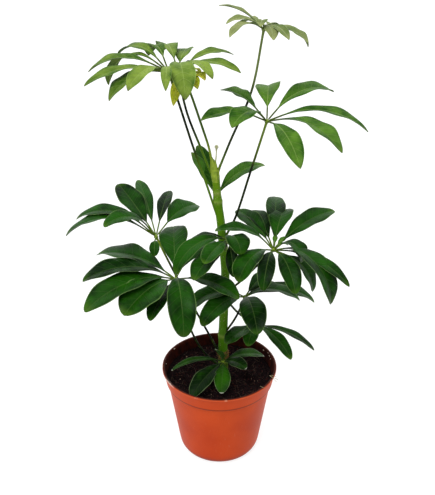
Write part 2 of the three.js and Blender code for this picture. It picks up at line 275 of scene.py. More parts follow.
class Value:
    """A socket's value inside a node tree. Expressions on it add the maths nodes that they need."""

    def __init__(self, kit: "NodeKit", socket: bpy.types.NodeSocket) -> None:
        self.kit = kit
        self.socket = socket

    @property
    def is_vector(self) -> bool:
        """Whether the socket carries a vector."""
        return self.socket.type == "VECTOR"

    def maths(self, operation: str, *others: "Value | float", swapped: bool = False) -> "Value":
        """Adds one maths node.

        Args:
            operation: The Math or Vector Math node's operation.
            others: The operation's further numbers or values.
            swapped: Whether this value comes after the others.

        Returns:
            The node's result.
        """
        inputs = [*others, self] if swapped else [self, *others]
        vectors = [isinstance(v, (tuple, Vector)) or (isinstance(v, Value) and v.is_vector) for v in inputs]
        if operation == "MULTIPLY" and vectors in ([True, False], [False, True]):
            arrow, number = inputs if vectors[0] else reversed(inputs)
            return self.kit.add("ShaderNodeVectorMath", {"operation": "SCALE"}, {0: arrow, 3: number})
        kind = "ShaderNodeVectorMath" if any(vectors) else "ShaderNodeMath"
        return self.kit.add(kind, {"operation": operation}, dict(enumerate(inputs)))

    def __add__(self, other: "Value | float") -> "Value":
        """This value plus another."""
        return self.maths("ADD", other)

    def __radd__(self, other: "Value | float") -> "Value":
        """Another value plus this one."""
        return self.maths("ADD", other, swapped=True)

    def __sub__(self, other: "Value | float") -> "Value":
        """This value minus another."""
        return self.maths("SUBTRACT", other)

    def __rsub__(self, other: "Value | float") -> "Value":
        """Another value minus this one."""
        return self.maths("SUBTRACT", other, swapped=True)

    def __mul__(self, other: "Value | float") -> "Value":
        """This value times another."""
        return self.maths("MULTIPLY", other)

    def __rmul__(self, other: "Value | float") -> "Value":
        """Another value times this one."""
        return self.maths("MULTIPLY", other, swapped=True)

    def __truediv__(self, other: "Value | float") -> "Value":
        """This value divided by another."""
        return self.maths("DIVIDE", other)

    def __rtruediv__(self, other: "Value | float") -> "Value":
        """Another value divided by this one."""
        return self.maths("DIVIDE", other, swapped=True)

    def __pow__(self, other: "Value | float") -> "Value":
        """This value to a power."""
        return self.maths("POWER", other)

    def __rpow__(self, other: "Value | float") -> "Value":
        """A number to the power of this value."""
        return self.maths("POWER", other, swapped=True)

    def __abs__(self) -> "Value":
        """This value without its sign."""
        return self.maths("ABSOLUTE")

    def sign(self) -> "Value":
        """Minus one, zero or one."""
        return self.maths("SIGN")

    def sine(self) -> "Value":
        """The sine of an angle in radians."""
        return self.maths("SINE")

    def cosine(self) -> "Value":
        """The cosine of an angle in radians."""
        return self.maths("COSINE")

    def at_least(self, low: "Value | float") -> "Value":
        """The larger of this value and another."""
        return self.maths("MAXIMUM", low)

    def at_most(self, high: "Value | float") -> "Value":
        """The smaller of this value and another."""
        return self.maths("MINIMUM", high)

    def above(self, low: "Value | float") -> "Value":
        """One where this value is over another, and zero elsewhere."""
        return self.maths("GREATER_THAN", low)

    def step(self, low: float, high: float) -> "Value":
        """Goes smoothly from 0 where this value is low to 1 where it is high."""
        ends = {"Value": self, "From Min": low, "From Max": high}
        return self.kit.add("ShaderNodeMapRange", {"interpolation_type": "SMOOTHSTEP"}, ends)

    def between(self, ends: Point) -> "Value":
        """Goes smoothly from 0 to 1 between two lengths in millimetres."""
        return self.step(ends[0] * MM, ends[1] * MM)

    def part(self, axis: str) -> "Value":
        """One of a vector's numbers, X, Y or Z."""
        return self.kit.add("ShaderNodeSeparateXYZ", {}, {0: self}, axis)


class NodeKit:
    """Adds nodes to one node tree."""

    def __init__(self, tree: bpy.types.NodeTree) -> None:
        """Works on the given tree."""
        self.tree = tree

    @staticmethod
    def _socket(sockets: Any, name: str | int) -> bpy.types.NodeSocket:
        """Finds a socket by its number, or the one in use that has the name."""
        if isinstance(name, int):
            return sockets[name]
        return next(s for s in sockets if s.name == name and s.enabled)

    def feed(self, socket: bpy.types.NodeSocket, value: Any) -> None:
        """Links a value to a socket, or sets a plain one on it."""
        if isinstance(value, Value):
            self.tree.links.new(value.socket, socket)
        else:
            socket.default_value = value

    def add(self, kind: str, settings: Setting | None = None, values: dict | None = None,
            out: str | int = 0) -> Value:
        """Adds any node.

        Args:
            kind: The node's type.
            settings: Its own settings, which are set first.
            values: Values or links for its sockets, by name or number.
            out: The name or number of the socket to return.

        Returns:
            The node's output.
        """
        node = self.tree.nodes.new(kind)
        for name, setting in (settings or {}).items():
            setattr(node, name, setting)
        for name, value in (values or {}).items():
            self.feed(self._socket(node.inputs, name), value)
        return Value(self, self._socket(node.outputs, out))

    def noise(self, place: Value, scale: float, detail: float = 3.0, rough: float = 0.5) -> Value:
        """Cloudy noise between 0 and 1, with "scale" lumps to a metre."""
        sizes = {"Vector": place, "Scale": scale, "Detail": detail, "Roughness": rough}
        return self.add("ShaderNodeTexNoise", {}, sizes)

    def vector(self, x: Value | float, y: Value | float, z: Value | float) -> Value:
        """Puts three numbers together."""
        return self.add("ShaderNodeCombineXYZ", {}, {0: x, 1: y, 2: z})


class ShaderKit(NodeKit):
    """Adds the nodes of one material."""

    def __init__(self, material: bpy.types.Material) -> None:
        """Works on a material that has its first shader."""
        super().__init__(material.node_tree)
        self.shader = material.node_tree.nodes["Principled BSDF"]

    def place(self) -> Value:
        """The point's place on the object, in metres."""
        return self.add("ShaderNodeTexCoord", {}, {}, "Object")

    def mark(self, name: str) -> Value:
        """A named value that the mesh carries."""
        return self.add("ShaderNodeAttribute", {"attribute_name": name}, {}, "Fac")

    def stretched(self, place: Value, x: float, y: float, z: float) -> Value:
        """The place with each axis scaled, so that noise on it is drawn out."""
        return self.add("ShaderNodeMapping", {}, {"Vector": place, "Scale": (x, y, z)})

    def coats(self, base: Value | str, *coats: tuple[Value, Value | str]) -> Value:
        """Lays coats of colour over a base.

        Args:
            base: The colour under them.
            coats: How much each one covers, from 0 to 1, and its colour.

        Returns:
            The colour that shows.
        """
        for share, colour in coats:
            under, over = (paint(c) if isinstance(c, str) else c for c in (base, colour))
            inputs = {"Factor": share, "A": under, "B": over}
            base = self.add("ShaderNodeMix", {"data_type": "RGBA"}, inputs, "Result")
        return base

    def surface(self, colour: Value, roughness: Value | float, pattern: Value, relief: float,
                **constants: float) -> None:
        """Sets the shader's sockets.

        Args:
            colour: The base colour.
            roughness: How rough the surface is, from 0 to 1.
            pattern: What the light shows as relief, from 0 to 1.
            relief: The relief's full depth in metres.
            constants: Plain numbers for further sockets, with _ for a space in the name.
        """
        self.feed(self.shader.inputs["Base Color"], colour)
        self.feed(self.shader.inputs["Roughness"], roughness)
        bump = self.add("ShaderNodeBump", {}, {"Strength": 1.0, "Distance": relief, "Height": pattern})
        self.feed(self.shader.inputs["Normal"], bump)
        for name, number in constants.items():
            self.shader.inputs[name.replace("_", " ")].default_value = number


class GeometryKit(NodeKit):
    """Adds the nodes of one shape-making tree, and runs it."""

    def __init__(self, name: str, sizes: Setting) -> None:
        """Starts a tree.

        Args:
            name: The tree's name.
            sizes: The tree's named inputs and the values that they are given.
        """
        super().__init__(bpy.data.node_groups.new(name, "GeometryNodeTree"))
        self.sizes = sizes
        shapes = {float: "NodeSocketFloat", int: "NodeSocketInt", tuple: "NodeSocketVector"}
        face = self.tree.interface
        face.new_socket("Geometry", in_out="INPUT", socket_type="NodeSocketGeometry")
        face.new_socket("Geometry", in_out="OUTPUT", socket_type="NodeSocketGeometry")
        for label, size in sizes.items():
            kind = shapes.get(type(size), "NodeSocketMaterial")
            face.new_socket(label, in_out="INPUT", socket_type=kind)
        self.source = self.tree.nodes.new("NodeGroupInput")

    def size(self, name: str) -> Value:
        """One of the tree's named inputs."""
        return Value(self, self.source.outputs[name])

    def here(self) -> Value:
        """Each point's place."""
        return self.add("GeometryNodeInputPosition")

    def mark(self, name: str) -> Value:
        """A named value that the points carry."""
        kind = "GeometryNodeInputNamedAttribute"
        return self.add(kind, {"data_type": "FLOAT"}, {"Name": name}, "Attribute")

    def store(self, shape: Value, name: str, value: Value | float) -> Value:
        """Keeps a value on the shape's points under a name."""
        inputs = {"Geometry": shape, "Name": name, "Value": value}
        return self.add("GeometryNodeStoreNamedAttribute", {"data_type": "FLOAT"}, inputs)

    def chance(self, low: Any, high: Any, seed: int) -> Value:
        """A random number or vector for each point, from a fixed seed."""
        kind = "FLOAT_VECTOR" if isinstance(low, tuple) else "FLOAT"
        ends = {"Min": low, "Max": high, "Seed": seed}
        return self.add("FunctionNodeRandomValue", {"data_type": kind}, ends, "Value")

    def ball(self, radius: Value | float, splits: int) -> Value:
        """A ball of triangles. Each split makes four of every one."""
        return self.add("GeometryNodeMeshIcoSphere", {}, {"Radius": radius, "Subdivisions": splits})

    def copies(self, points: Value, shape: Value, **placing: Value) -> Value:
        """Puts a copy of a shape at each point, with its Rotation and Scale there where they are given."""
        return self.add("GeometryNodeInstanceOnPoints", {}, {"Points": points, "Instance": shape, **placing})

    def loosen(self, copies: Value) -> Value:
        """Makes copies of a shape into points and faces of their own."""
        return self.add("GeometryNodeRealizeInstances", {}, {0: copies})

    def move(self, shape: Value, **by: Value) -> Value:
        """Moves a shape's points to a Position, or by an Offset."""
        return self.add("GeometryNodeSetPosition", {}, {"Geometry": shape, **by})

    def scatter(self, density: str, chosen: Value | bool = True) -> tuple[Value, Value]:
        """Scatters points over the faces that the tree starts from.

        Args:
            density: The name of the input that says how many points a square metre gets.
            chosen: Where points may lie.

        Returns:
            The points, and the turn from +Z to the face's outward direction at each.
        """
        points = self.add("GeometryNodeDistributePointsOnFaces", {}, {
            "Mesh": self.size("Geometry"),
            "Selection": chosen,
            "Density": self.size(density),
            "Seed": self.size("Seed"),
        })
        return points, Value(self, points.socket.node.outputs["Rotation"])

    def rods(self, courses: Value, sides: int, radius: Value | float, scale: Value | float = 1.0) -> Value:
        """Makes a rod with closed ends along each curve.

        Args:
            courses: The curves.
            sides: How many sides the rods have.
            radius: The rods' radius in metres.
            scale: What the radius is multiplied by along the way.

        Returns:
            The rods.
        """
        section = self.add("GeometryNodeCurvePrimitiveCircle", {}, {"Resolution": sides, "Radius": radius})
        return self.add("GeometryNodeCurveToMesh", {}, {
            "Curve": courses, "Profile Curve": section, "Scale": scale, "Fill Caps": True})

    def join(self, first: Value, second: Value) -> Value:
        """Puts two shapes in one."""
        both = self.add("GeometryNodeJoinGeometry", {}, {0: first})
        self.feed(both.socket.node.inputs[0], second)
        return both

    def run(self, piece: bpy.types.Object, shape: Value, keep: Sequence[str] = ()) -> bpy.types.Object:
        """Ends the tree, runs it on an object and keeps the result as that object's plain mesh.

        The tree's input named Finish holds the material.

        Args:
            piece: The object whose mesh the tree starts from.
            shape: The last shape in the tree.
            keep: The named values that the result keeps.

        Returns:
            The same object with its new mesh.
        """
        dressed = self.add("GeometryNodeSetMaterial", {}, {
            "Geometry": self.loosen(shape), "Material": self.size("Finish")})
        self.tree.links.new(dressed.socket, self.tree.nodes.new("NodeGroupOutput").inputs[0])
        maker = piece.modifiers.new(self.tree.name, "NODES")
        maker.node_group = self.tree
        for item in self.tree.interface.items_tree:
            if item.in_out == "INPUT" and item.name in self.sizes:
                maker[item.identifier] = self.sizes[item.name]
        settle(piece)
        piece.data.materials.clear()
        piece.data.materials.append(self.sizes["Finish"])
        for name in [a.name for a in piece.data.attributes]:
            gone = piece.data.attributes.get(name)
            if gone and not gone.is_required and not gone.is_internal and name not in keep:
                piece.data.attributes.remove(gone)
        return piece


def settle(piece: bpy.types.Object) -> None:
    """Turns what an object's modifiers make into its plain mesh, and removes them."""
    graph = bpy.context.evaluated_depsgraph_get()
    made = bpy.data.meshes.new_from_object(piece.evaluated_get(graph), depsgraph=graph)
    piece.modifiers.clear()
    old = piece.data
    piece.data = made
    bpy.data.meshes.remove(old)
    made.name = piece.name


# Finishes.


@dataclass(frozen=True)
class Finish:
    """A named procedural finish. Each kind draws its own nodes."""

    name: str

    def draw(self, kit: ShaderKit) -> None:
        raise NotImplementedError

    def material(self) -> bpy.types.Material:
        """Makes the finish's material at its first use, and returns the same one after that."""
        made = bpy.data.materials.get(self.name)
        if made is None:
            made = bpy.data.materials.new(self.name)
            made.use_nodes = True
            self.draw(ShaderKit(made))
        return made

    def on(self, piece: bpy.types.Object) -> bpy.types.Object:
        """Gives a piece this finish."""
        piece.data.materials.clear()
        piece.data.materials.append(self.material())
        return piece


@dataclass(frozen=True)
class BladeFinish(Finish):
    """A leaf blade: mottled green with a paler midrib, side veins, thin light rims and a duller underside,
    and painted shade towards its edges and its root.

    Its "along" runs from the blade's root to its tip, and "across" from the midrib to the edge. The midrib's
    colour fades out between the "rib_ends", in millimetres from its middle, less "rib_taper" at the tip.
    """

    deep: str
    fresh: str
    rib: str
    rim: str
    tip: str
    under: str
    stalk: str
    gloss: float = 0.3
    vein_share: float = 0.2
    rib_share: float = 0.55
    tip_start: float = 0.8
    tip_share: float = 0.3
    veins: float = 9.0
    rib_ends: Point = (0.3, 0.8)
    rib_taper: float = 0.25

    def draw(self, kit: ShaderKit) -> None:
        place = kit.place()
        across = abs(kit.mark("across"))
        along = kit.mark("along")
        off_rib = abs(kit.mark("off_rib"))
        tone = kit.mark("tone")
        upper = kit.mark("upper").step(0.5, 0.62)
        cloud = kit.noise(place, 90.0, 4.0)
        fine = kit.noise(place, 1400.0, 2.0)
        broad = kit.noise(place, 38.0, 3.0).step(0.3, 0.7)
        # Painted shade: the blade is darker towards its edges and its root.
        shade = across.step(0.6, 0.93) * 0.3 + (1.0 - along.step(0.0, 0.3)) * 0.25
        mottle = cloud * 1.5 + broad * 0.7 + tone * 0.8 + fine * 0.2 - 1.05 - shade
        vein = ((along * self.veins - across * 1.3) * TAU).sine().step(0.86, 1.0)
        vein = vein * (1.0 - across.step(0.75, 1.0)) * along.step(0.02, 0.1)
        rim = across.step(0.91, 0.99) * (0.25 + 0.6 * along.step(0.15, 0.9))
        tip = along.step(self.tip_start, 1.0) * (self.tip_share + 0.45 * tone)
        rib = 1.0 - (off_rib + along * (self.rib_taper * MM)).between(self.rib_ends)
        green = kit.coats(
            self.deep,
            (mottle.at_least(0.0).at_most(1.0), self.fresh),
            (vein * self.vein_share, self.rib),
            (rim, self.rim),
            (tip, self.tip),
            (rib * (1.0 - along * 0.5) * self.rib_share, self.rib),
        )
        below = kit.coats(self.under, (cloud, green), ((rib + vein * 0.5).at_most(1.0) * 0.7, self.rib))
        green = kit.coats(below, (upper, green), (1.0 - along.step(-0.05, 0.04), self.stalk))
        rough = self.gloss + (1.0 - upper) * 0.25 + fine * 0.12
        pattern = (rib + vein) * 0.5 + fine * 0.25 + cloud * 0.3
        kit.surface(green, rough, pattern, relief=0.0005, Specular_IOR_Level=0.06)


@dataclass(frozen=True)
class StalkFinish(Finish):
    """A leaf stalk: light at its foot and under the hub, with painted shade between, and fine lengthwise
    lines.
    """

    foot: str
    # The middle colour is painted shade, nearly black on most leaves, for the stretch that runs under the
    # leaflets.
    middle: str
    head: str
    foot_share: float = 0.12
    head_start: float = 0.85
    blend: float = 0.12

    def draw(self, kit: ShaderKit) -> None:
        place = kit.place()
        along = kit.mark("along")
        lines = kit.noise(kit.stretched(place, 1.0, 1.0, 0.12), 1600.0, 2.0)
        cloud = kit.noise(place, 160.0, 3.0)
        # Painted shade: between its foot and its head the stalk takes the dark middle colour.
        darker = along.step(self.foot_share - self.blend, self.foot_share + self.blend)
        lighter = along.step(self.head_start - self.blend, self.head_start + self.blend)
        green = kit.coats(
            self.foot, (darker, self.middle), (lighter, self.head), (cloud.step(0.45, 0.75) * 0.3, self.head))
        kit.surface(green, 0.38 + lines * 0.2, lines, relief=0.0002, Specular_IOR_Level=0.08)


@dataclass(frozen=True)
class BarkFinish(Finish):
    """The trunk's green skin: corky at its foot, bright above, with drawn-out streaks and paler nodes.

    Each pair of "ends" is the heights between which one colour gives way to the next, in millimetres.
    """

    cork: str = "#3c2c1a"
    low: str = "#4e8410"
    green: str = "#588c0a"
    node: str = "#8fa64a"
    top: str = "#7a9c16"
    cork_ends: Point = (98, 120)
    green_ends: Point = (120, 200)
    top_ends: Point = (280, 330)

    def draw(self, kit: ShaderKit) -> None:
        place = kit.place()
        height = place.part("Z")
        streaks = kit.noise(kit.stretched(place, 1.0, 1.0, 0.1), 900.0, 4.0, 0.6)
        cloud = kit.noise(place, 120.0, 3.0)
        cork = (1.0 - (height + cloud * 0.02).between(self.cork_ends)) * streaks.step(0.25, 0.6)
        bark = kit.coats(
            self.low,
            ((height + cloud * 0.03).between(self.green_ends), self.green),
            (height.between(self.top_ends), self.top),
            (streaks.step(0.5, 0.8) * 0.45, self.low),
            (kit.mark("node") * (0.5 + 0.4 * cloud), self.node),
            (cork, self.cork),
        )
        pattern = streaks + cloud * 0.4
        kit.surface(bark, 0.42 + streaks * 0.2, pattern, relief=0.0006, Specular_IOR_Level=0.08)


@dataclass(frozen=True)
class PlasticFinish(Finish):
    """Satin moulded plastic, a little clouded and scratched, with dust specks, a darker top to its rim,
    painted shade on its inner wall, round its foot and in a line under the band, and a painted highlight
    along its lip.

    Each pair of "ends" is the heights between which something comes in: the lighter colour, the painted
    highlight on the lip, the chalk, the clean wall over the painted shade at the foot, the top of the inner
    wall, where its painted shade thins, and the darker rim top. "band_shadow_height" is the height of the
    painted shadow line under the band. The chalk fades out over "chalk_reach" round "chalk_place", and is
    "chalk_flatness" times as long as it is high. Lengths are in millimetres.
    """

    body: str = "#ca3e09"
    light: str = "#e25216"
    scuff_and_highlight: str = "#dd9474"
    chalk: str = "#f6d4c4"
    # The dust colour also paints the shade at the foot, under the band and on the inner wall, and darkens the
    # rim top.
    dust: str = "#160606"
    band_shadow_height: float = 84.2
    light_ends: Point = (30, 100)
    lip_highlight_ends: Point = (97.2, 98.5)
    chalk_ends: Point = (94, 98)
    foot_shade_ends: Point = (1, 12)
    inner_shade_ends: Point = (96, 99)
    top_ends: Point = (99.5, 99.9)
    chalk_place: Point = (-52.0, -29.8, 99.0)
    chalk_reach: Point = (4, 15)
    chalk_flatness: float = 2.6

    def draw(self, kit: ShaderKit) -> None:
        place = kit.place()
        height = place.part("Z")
        cloud = kit.noise(place, 28.0, 4.0)
        grain = kit.noise(place, 2200.0, 2.0)
        scratches = kit.noise(kit.stretched(place, 1.0, 1.0, 0.14), 420.0, 3.0, 0.7)
        upper = height.between(self.light_ends) * 0.5 + cloud.step(0.3, 0.7) * 0.5
        # Patches along the rim, which strengthen the painted highlight on the lip and lighten the darker rim
        # top.
        rim_patches = kit.noise(kit.stretched(place, 1.0, 1.0, 0.3), 130.0, 3.0).step(0.56, 0.66)
        x, y, z = (v * MM for v in self.chalk_place)
        here = kit.stretched(place, 1.0, 1.0, self.chalk_flatness)
        away = kit.add("ShaderNodeVectorMath", {"operation": "DISTANCE"}, {
            0: here, 1: (x, y, z * self.chalk_flatness),
        }, "Value")
        chalk = (1.0 - (away + cloud * 0.004).between(self.chalk_reach)) * (0.7 + 0.5 * scratches)
        # Painted shadow: a dark line just under the band's lower edge, where the band shades the wall.
        band_shadow = 1.0 - (abs(height - self.band_shadow_height * MM) * 1000.0).step(0.3, 1.5)
        specks = kit.noise(place, 700.0, 3.0, 0.7).step(0.64, 0.7)
        # Painted shade: the wall darkens towards the foot.
        foot = (1.0 - height.between(self.foot_shade_ends)) * 0.4
        # The dust specks, with the painted shade at the foot and under the band, all laid in the dust colour.
        specks_and_shade = (foot + specks * 0.12 + band_shadow * 0.5).at_most(1.0)
        inner = kit.mark("inner")
        # Painted shade: the inner wall above the peat is laid nearly all in the dust colour, mottled a little
        # and thinning just under the lip.
        inner_mottle = kit.noise(kit.stretched(place, 1.0, 1.0, 0.4), 160.0, 4.0, 0.6).step(0.3, 0.75)
        inner_shade = inner * (1.0 - inner_mottle * 0.07 - height.between(self.inner_shade_ends) * 0.03)
        # The top face of the rim is darker, less so on the patches.
        top = height.between(self.top_ends) * (0.78 - rim_patches * 0.4)
        plastic = kit.coats(
            self.body,
            (upper, self.light),
            (scratches.step(0.62, 0.76) * 0.16, self.scuff_and_highlight),
            # Painted highlight: a light line along the outside of the lip, stronger on the patches; the same
            # colour also marks real scuffs.
            (height.between(self.lip_highlight_ends) * (0.1 + rim_patches * 0.8), self.scuff_and_highlight),
            (chalk * height.between(self.chalk_ends), self.chalk),
            (specks_and_shade, self.dust),
            (inner_shade.at_least(top), self.dust),
        )
        rough = 0.36 + cloud * 0.1 + grain * 0.08 + inner * 0.2
        pattern = grain * 0.5 + scratches * 0.5
        kit.surface(plastic, rough, pattern, relief=0.00012, Specular_IOR_Level=0.1)


@dataclass(frozen=True)
class PeatFinish(Finish):
    """Dark peat: near black with brown and reddish lumps, rough all over."""

    black: str = "#110a0b"
    brown: str = "#251618"
    red: str = "#472320"
    pale: str = "#a48f78"

    def draw(self, kit: ShaderKit) -> None:
        place = kit.place()
        tone = kit.mark("tone")
        lumps = kit.noise(place, 420.0, 5.0, 0.65)
        dust = kit.noise(place, 2600.0, 3.0, 0.7)
        soil = kit.coats(
            self.black,
            (lumps.step(0.42, 0.72), self.brown),
            (dust.step(0.6, 0.8) * 0.6, self.red),
            (tone.step(0.7, 0.95) * 0.8, self.red),
            (tone.step(0.995, 0.998) * 0.8, self.pale),
        )
        pattern = lumps * 0.7 + dust * 0.3
        kit.surface(soil, 0.85 + dust * 0.15, pattern, relief=0.0012, Specular_IOR_Level=0.05)


@dataclass(frozen=True)
class HuskFinish(Finish):
    """Dry or tender plant skin between two colours, such as fibres, scars, bracts and the bud."""

    dark: str
    light: str
    rough: float = 0.7
    lumps: float = 900.0

    def draw(self, kit: ShaderKit) -> None:
        place = kit.place()
        cloud = kit.noise(place, self.lumps, 4.0, 0.6)
        fine = kit.noise(place, self.lumps * 4, 2.0)
        husk = kit.coats(self.dark, (cloud.step(0.3, 0.7), self.light))
        kit.surface(husk, self.rough + fine * 0.15, cloud * 0.6 + fine * 0.4, relief=0.0003)


@dataclass(frozen=True)
class PaperFinish(Finish):
    """Pale paper under and behind the plant, lit a little from within, so that shadows on it stay faint."""

    colour: str = "#8f8f8f"
    fibre: str = "#7f7f7f"
    glow: float = 0.8

    def draw(self, kit: ShaderKit) -> None:
        fibres = kit.noise(kit.place(), 300.0, 3.0)
        tint = kit.coats(self.colour, (fibres * 0.06, self.fibre))
        kit.surface(tint, 0.9, fibres, relief=5e-5, Specular_IOR_Level=0.0, Emission_Strength=self.glow)


# The pot.


@dataclass
class Pot:
    """The round nursery pot, with a stepped band under its lip and slots in its floor.

    "outside" and "inside" are the corners of its wall as radius, height and rounding, from the middle of its
    underside over the lip to the middle of its floor.
    """

    name: str = "pot_shell"
    sides: int = 144
    slots: int = 4
    slot_bearing: float = 240.0
    slot_width: float = 12.0
    slot_inner: float = 33.0
    slot_outer: float = 42.0
    slot_top: float = 2.2
    outside: tuple[Point, ...] = (
        (0, 0, 0), (22, 0, 0.3), (22.6, 0.4, 0.2), (23.4, 0.4, 0.2), (24, 0, 0.3), (36, 0, 1.6),
        (39.5, 1.5, 1.8), (42.3, 6, 2.4), (43.5, 12, 2.6), (54.2, 82, 0.5), (56.2, 83.5, 0.6),
        (58.8, 98, 0.25), (60, 98, 0.35), (60, 100, 0.8),
    )
    inside: tuple[Point, ...] = (
        (57.76, 100, 0.7), (54.8, 83.5, 0.6), (52.8, 82, 0.6), (42.1, 12, 2), (39.5, 3.1, 1.4),
        (36, 1.6, 1.2), (0, 1.6, 0),
    )
    finish: PlasticFinish = PlasticFinish("pot_plastic_skin")

    def shell(self) -> bpy.types.Object:
        """Turns the outline round the pot's axis.

        Returns:
            The closed shell, with an "inner" mark for its finish.
        """
        outline = rounded([*self.outside, *self.inside])
        first_inner = len(rounded(self.outside)) - 2
        points, inner = [], []
        for i, (radius, height) in enumerate(outline):
            ring = ring_at(radius, height, self.sides if radius > 0 else 1)
            points += ring
            inner += [1.0 if i > first_inner else 0.0] * len(ring)
        faces = []
        start = 0
        for (r0, _), (r1, _) in zip(outline, outline[1:]):
            steps = [(i, (i + 1) % self.sides) for i in range(self.sides)]
            if r0 == 0:
                faces += [[start, start + 1 + j, start + 1 + i] for i, j in steps]
            elif r1 == 0:
                faces += [[start + i, start + j, start + self.sides] for i, j in steps]
            else:
                faces += ring_faces(start, 1, self.sides)
            start += 1 if r0 == 0 else self.sides
        return make_mesh(self.name, points, faces, {"inner": inner})

    def cut_slots(self, piece: bpy.types.Object) -> bpy.types.Object:
        """Cuts the drain slots through the floor's rounded corner.

        Args:
            piece: The closed shell.

        Returns:
            The same object with its slots.
        """
        kit = GeometryKit("drain_slots", {
            "Slots": self.slots,
            "Reach": (self.slot_outer + self.slot_inner) / 2 * MM,
            "Slot size": (
                (self.slot_outer - self.slot_inner) * MM, self.slot_width * MM, 2 * self.slot_top * MM),
            "Turn": math.radians(self.slot_bearing),
            "Finish": self.finish.material(),
        })
        ring = kit.add("GeometryNodeMeshCircle", {}, {
            "Vertices": kit.size("Slots"), "Radius": kit.size("Reach")})
        block = kit.add("GeometryNodeMeshCube", {}, {"Size": kit.size("Slot size")})
        turn = kit.add("GeometryNodeInputIndex") * (TAU / self.slots)
        blocks = kit.copies(ring, block, Rotation=kit.vector(0.0, 0.0, turn))
        turned = kit.add("GeometryNodeTransform", {}, {
            "Geometry": blocks, "Rotation": kit.vector(0.0, 0.0, kit.size("Turn"))})
        cut = kit.add("GeometryNodeMeshBoolean", {"operation": "DIFFERENCE", "solver": "EXACT"}, {
            "Mesh 1": kit.size("Geometry"), "Mesh 2": kit.loosen(turned)})
        return kit.run(piece, cut, keep=("inner",))

    def build(self) -> bpy.types.Object:
        """Builds and dresses the pot."""
        piece = tidy(self.cut_slots(self.shell()), crease=40.0)
        return finish_piece(self.finish.on(piece), Slot.POT, "pot")


# The peat.


